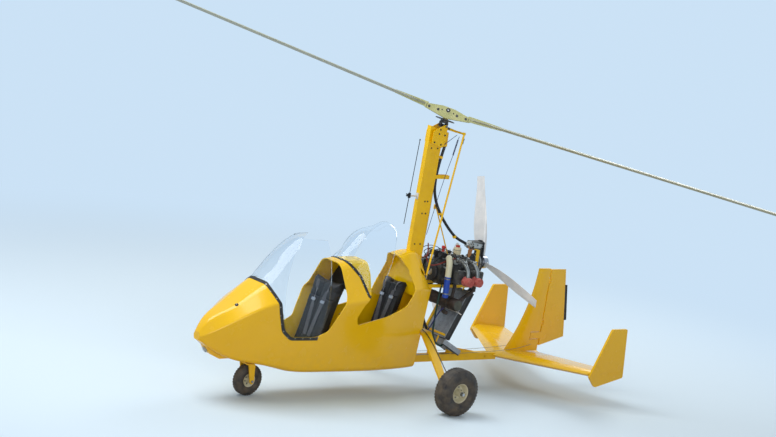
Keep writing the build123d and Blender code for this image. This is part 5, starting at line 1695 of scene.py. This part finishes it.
# %% [markdown]
# A bulkhead closes the hollow in front of the mast, behind the rear seat. Its edge is found with
# rays from the middle to the fairing's inner wall, so it fits the shell at every height.

# %% Rear bulkhead
BULKHEAD_X = -0.222
BULKHEAD_FOOT = 0.985
BULKHEAD_STEP = 0.0166
fairing = surface_of("mast_fairing")
edge = []
for k in range(24):
    z = BULKHEAD_FOOT + BULKHEAD_STEP * k
    hit, normal = on_surface(fairing, (BULKHEAD_X, 0, z), (0, 1, 0))
    if hit and hit.y > 0.04:
        edge.append((hit.y + 0.002, z))
outline = edge + [(-y, z) for y, z in reversed(edge)]
assemble("rear_bulkhead", "gelcoat", [
    (add_plate, outline, (BULKHEAD_X, 0, 0), SIDEWAYS, UPWARDS, 0.004),
])
print("bulkhead edge:", len(edge), "heights")

# %% [markdown]
# Screws run along both rubber strips at an even pitch. The strip's own outer surface is sampled
# with rays from the side, and only places that meet the strip get a screw.

# %% Strip screws
SCREW_PITCH = 0.085
strip = surface_of("screen_frames")
marks = []
for side in (-1, 1):
    taken = []
    for i in range(120):
        for j in range(60):
            spot = (-1.97 + i * 0.0095, side * 0.8, 1.30 - j * 0.012)
            hit, normal = on_surface(strip, spot, (0, -side, 0))
            faces_out = hit and abs(hit.y) > 0.02 and abs(normal.y) > 0.25
            if faces_out and all((hit - old).length > SCREW_PITCH for old in taken):
                taken.append(hit)
                marks.append((hit, normal))
heads("strip_screws", marks, 0.0036, 0.002, "bright_alloy", sides=10, washer=1.4)
print("strips:", len(marks), "screws")

# %% [markdown]
# Each panel carries round gauges: a black bezel, a dark dial with plain marks and a pointer, and a
# row of switches below them. The dials are left without words.

# %% Gauges
# Columns: panel face x, gauges as (y, z, radius), switch row z, half width of the row
PANELS = [
    (-1.962, [
        (-0.17, 0.915, 0.038), (-0.07, 0.945, 0.045), (0.04, 0.950, 0.045), (0.15, 0.925, 0.038),
        (-0.12, 0.845, 0.026), (0.10, 0.845, 0.026),
    ], 0.825, 0.06),
    (-0.858, [(-0.10, 1.155, 0.038), (0.0, 1.175, 0.042), (0.10, 1.155, 0.038)], 1.085, 0.08),
]
DIAL_MARKS = 11
SWITCHES = 5
SWITCH = [(0, 0.006), (0.003, 0.006), (0.004, 0.0032), (0.010, 0.0028), (0.018, 0.0038), (0.020, 0.003)]
panel_shape = surface_of("instrument_panels")


def panel_face(face_x, y, z):
    """The x where a panel's face is at (y, z), or nothing where the ray misses the face."""
    hit, normal = on_surface(panel_shape, (face_x + 0.08, y, z), (-1, 0, 0))
    return hit.x if hit and abs(hit.x - face_x) < 0.01 else None


bezels, dials, ticks, switches = [], [], [], []
for face_x, gauges, switch_z, half_width in PANELS:
    for y, z, r in gauges:
        x = panel_face(face_x, y, z)
        if x is None:
            continue
        bezel = [(0, r), (0.006, r), (0.009, r * 0.92), (0.0092, r * 0.86), (0.004, r * 0.85)]
        bezels.append((add_turned, (x - 0.001, y, z), FORE_AFT, bezel, 32))
        dials.append((add_turned, (x + 0.0005, y, z), FORE_AFT, [(0, r * 0.86), (0.0045, r * 0.85)], 32))
        for k in range(DIAL_MARKS):
            degrees = -130 + 26 * k
            turn = math.radians(degrees)
            centre = (x + 0.0054, y + r * 0.70 * math.sin(turn), z + r * 0.70 * math.cos(turn))
            ticks.append((add_block, centre, (0.001, 0.0016, r * 0.16), 0.0002, (-degrees, 0, 0)))
        pointer = (x + 0.0058, y + r * 0.13, z + r * 0.22)
        ticks.append((add_block, pointer, (0.001, 0.002, r * 0.60), 0.0003, (-30, 0, 0)))
    for k in range(SWITCHES):
        y = half_width * (k - SWITCHES // 2) / 2
        x = panel_face(face_x, y, switch_z)
        if x is not None:
            switches.append((add_turned, (x - 0.001, y, switch_z), FORE_AFT, SWITCH, 10))
assemble("gauge_bezels", "black_plastic", bezels)
assemble("gauge_dials", "gauge_face", dials)
assemble("gauge_marks", "gauge_mark", ticks)
assemble("panel_switches", "bright_alloy", switches)
print("panels:", len(bezels), "gauges")

# %% [markdown]
# The sticks get ribbed rubber grips with a button, and the pedals get ribbed treads.

# %% Grips and pedal treads
# Columns: x and z of each stick's top
STICKS = [(-1.661, 0.741), (-0.891, 0.761)]
GRIP_RIBS = 8
BUTTON = [(0, 0.008), (0.004, 0.008), (0.006, 0.005)]
PEDAL_Y = 0.115
grips, buttons, treads = [], [], []
for x, top_z in STICKS:
    for k in range(GRIP_RIBS):
        spot = (x - 0.0035, 0, top_z - 0.020 - 0.011 * k)
        grips.append((add_turned, spot, (0.05, 0, 1), collar(0.0190, 0.008, 0.002, 0.0025), 18))
    buttons.append((add_turned, (x, 0, top_z - 0.002), UPWARDS, BUTTON, 14))
assemble("stick_grips", "cable_rubber", grips)
assemble("stick_buttons", "red_cap", buttons)
pedals = surface_of("rudder_pedals")
for side in (-1, 1):
    for k in range(5):
        hit, normal = on_surface(pedals, (-1.6, side * PEDAL_Y, 0.49 + 0.013 * k), (-1, 0, 0))
        if hit:
            treads.append((add_block, (hit.x + 0.0015, side * PEDAL_Y, hit.z), (0.005, 0.070, 0.005), 0.001))
if treads:
    assemble("pedal_treads", "cable_rubber", treads)
print("grips and", len(treads), "tread ribs")

# %% [markdown]
# ## Tail
# The fins are moulded shells joined to the stabiliser with rows of flush rivets, the rudder hangs
# on two hinges with visible pins, and a cable on each side runs forward from its horn along
# the keel.

# %% Rivets, hinge pins and rudder cables
# Columns: node, first and last x, height, rivets in the row
FIN_RIVETS = [
    ("tip_fins", 1.86, 2.14, 0.345, 10), ("centre_fin", 1.46, 1.66, 0.40, 6),
    ("centre_fin", 1.60, 1.70, 0.95, 3),
]
HINGE_HEIGHTS = (0.56, 1.02)
HINGE_BEHIND_FIN = 0.007
HINGE_PIN = [(0, 0.0035), (0.010, 0.0035), (0.0105, 0.006), (0.014, 0.006), (0.0155, 0.004)]
RUDDER_CABLE = [
    (1.66, 0.055, 0.415), (1.40, 0.062, 0.375), (0.90, 0.062, 0.352), (0.20, 0.060, 0.348),
    (-0.02, 0.058, 0.350),
]
found = []
for name, first, last, height, count in FIN_RIVETS:
    shape = surface_of(name)
    for k in range(count):
        x = first + (last - first) * k / (count - 1)
        found += [on_surface(shape, (x, side * 1.2, height), (0, -side, 0)) for side in (-1, 1)]
stabiliser = surface_of("stabiliser")
for k in range(13):
    for y in (-0.09 - 0.058 * k, 0.09 + 0.058 * k):
        found += [on_surface(stabiliser, (x, y, 0.9), (0, 0, -1)) for x in (1.42, 1.90)]
rivets = [(spot, normal) for spot, normal in found if spot]
heads("tail_rivets", rivets, 0.0036, 0.0014, "powder", sides=12, washer=1.3)
hinge_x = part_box("centre_fin")[1].x - DRAWING_TO_FRAME.x - HINGE_BEHIND_FIN
assemble("hinge_pins", "bolt_steel", [
    (add_turned, (hinge_x, 0, z + 0.010), UPWARDS, HINGE_PIN, 10) for z in HINGE_HEIGHTS
])
assemble("keel_end_plug", "black_plastic", [
    (add_turned, (1.2085, 0, 0.290), FORE_AFT, [(-0.004, 0.020), (0.0005, 0.020), (0.0012, 0.017)], 6),
])
assemble("rudder_cables", "bolt_steel", [
    (add_tube, [(x, side * y, z) for x, y, z in RUDDER_CABLE], 0.0022, 6, 5) for side in (-1, 1)
])
print("tail:", len(rivets), "rivets")
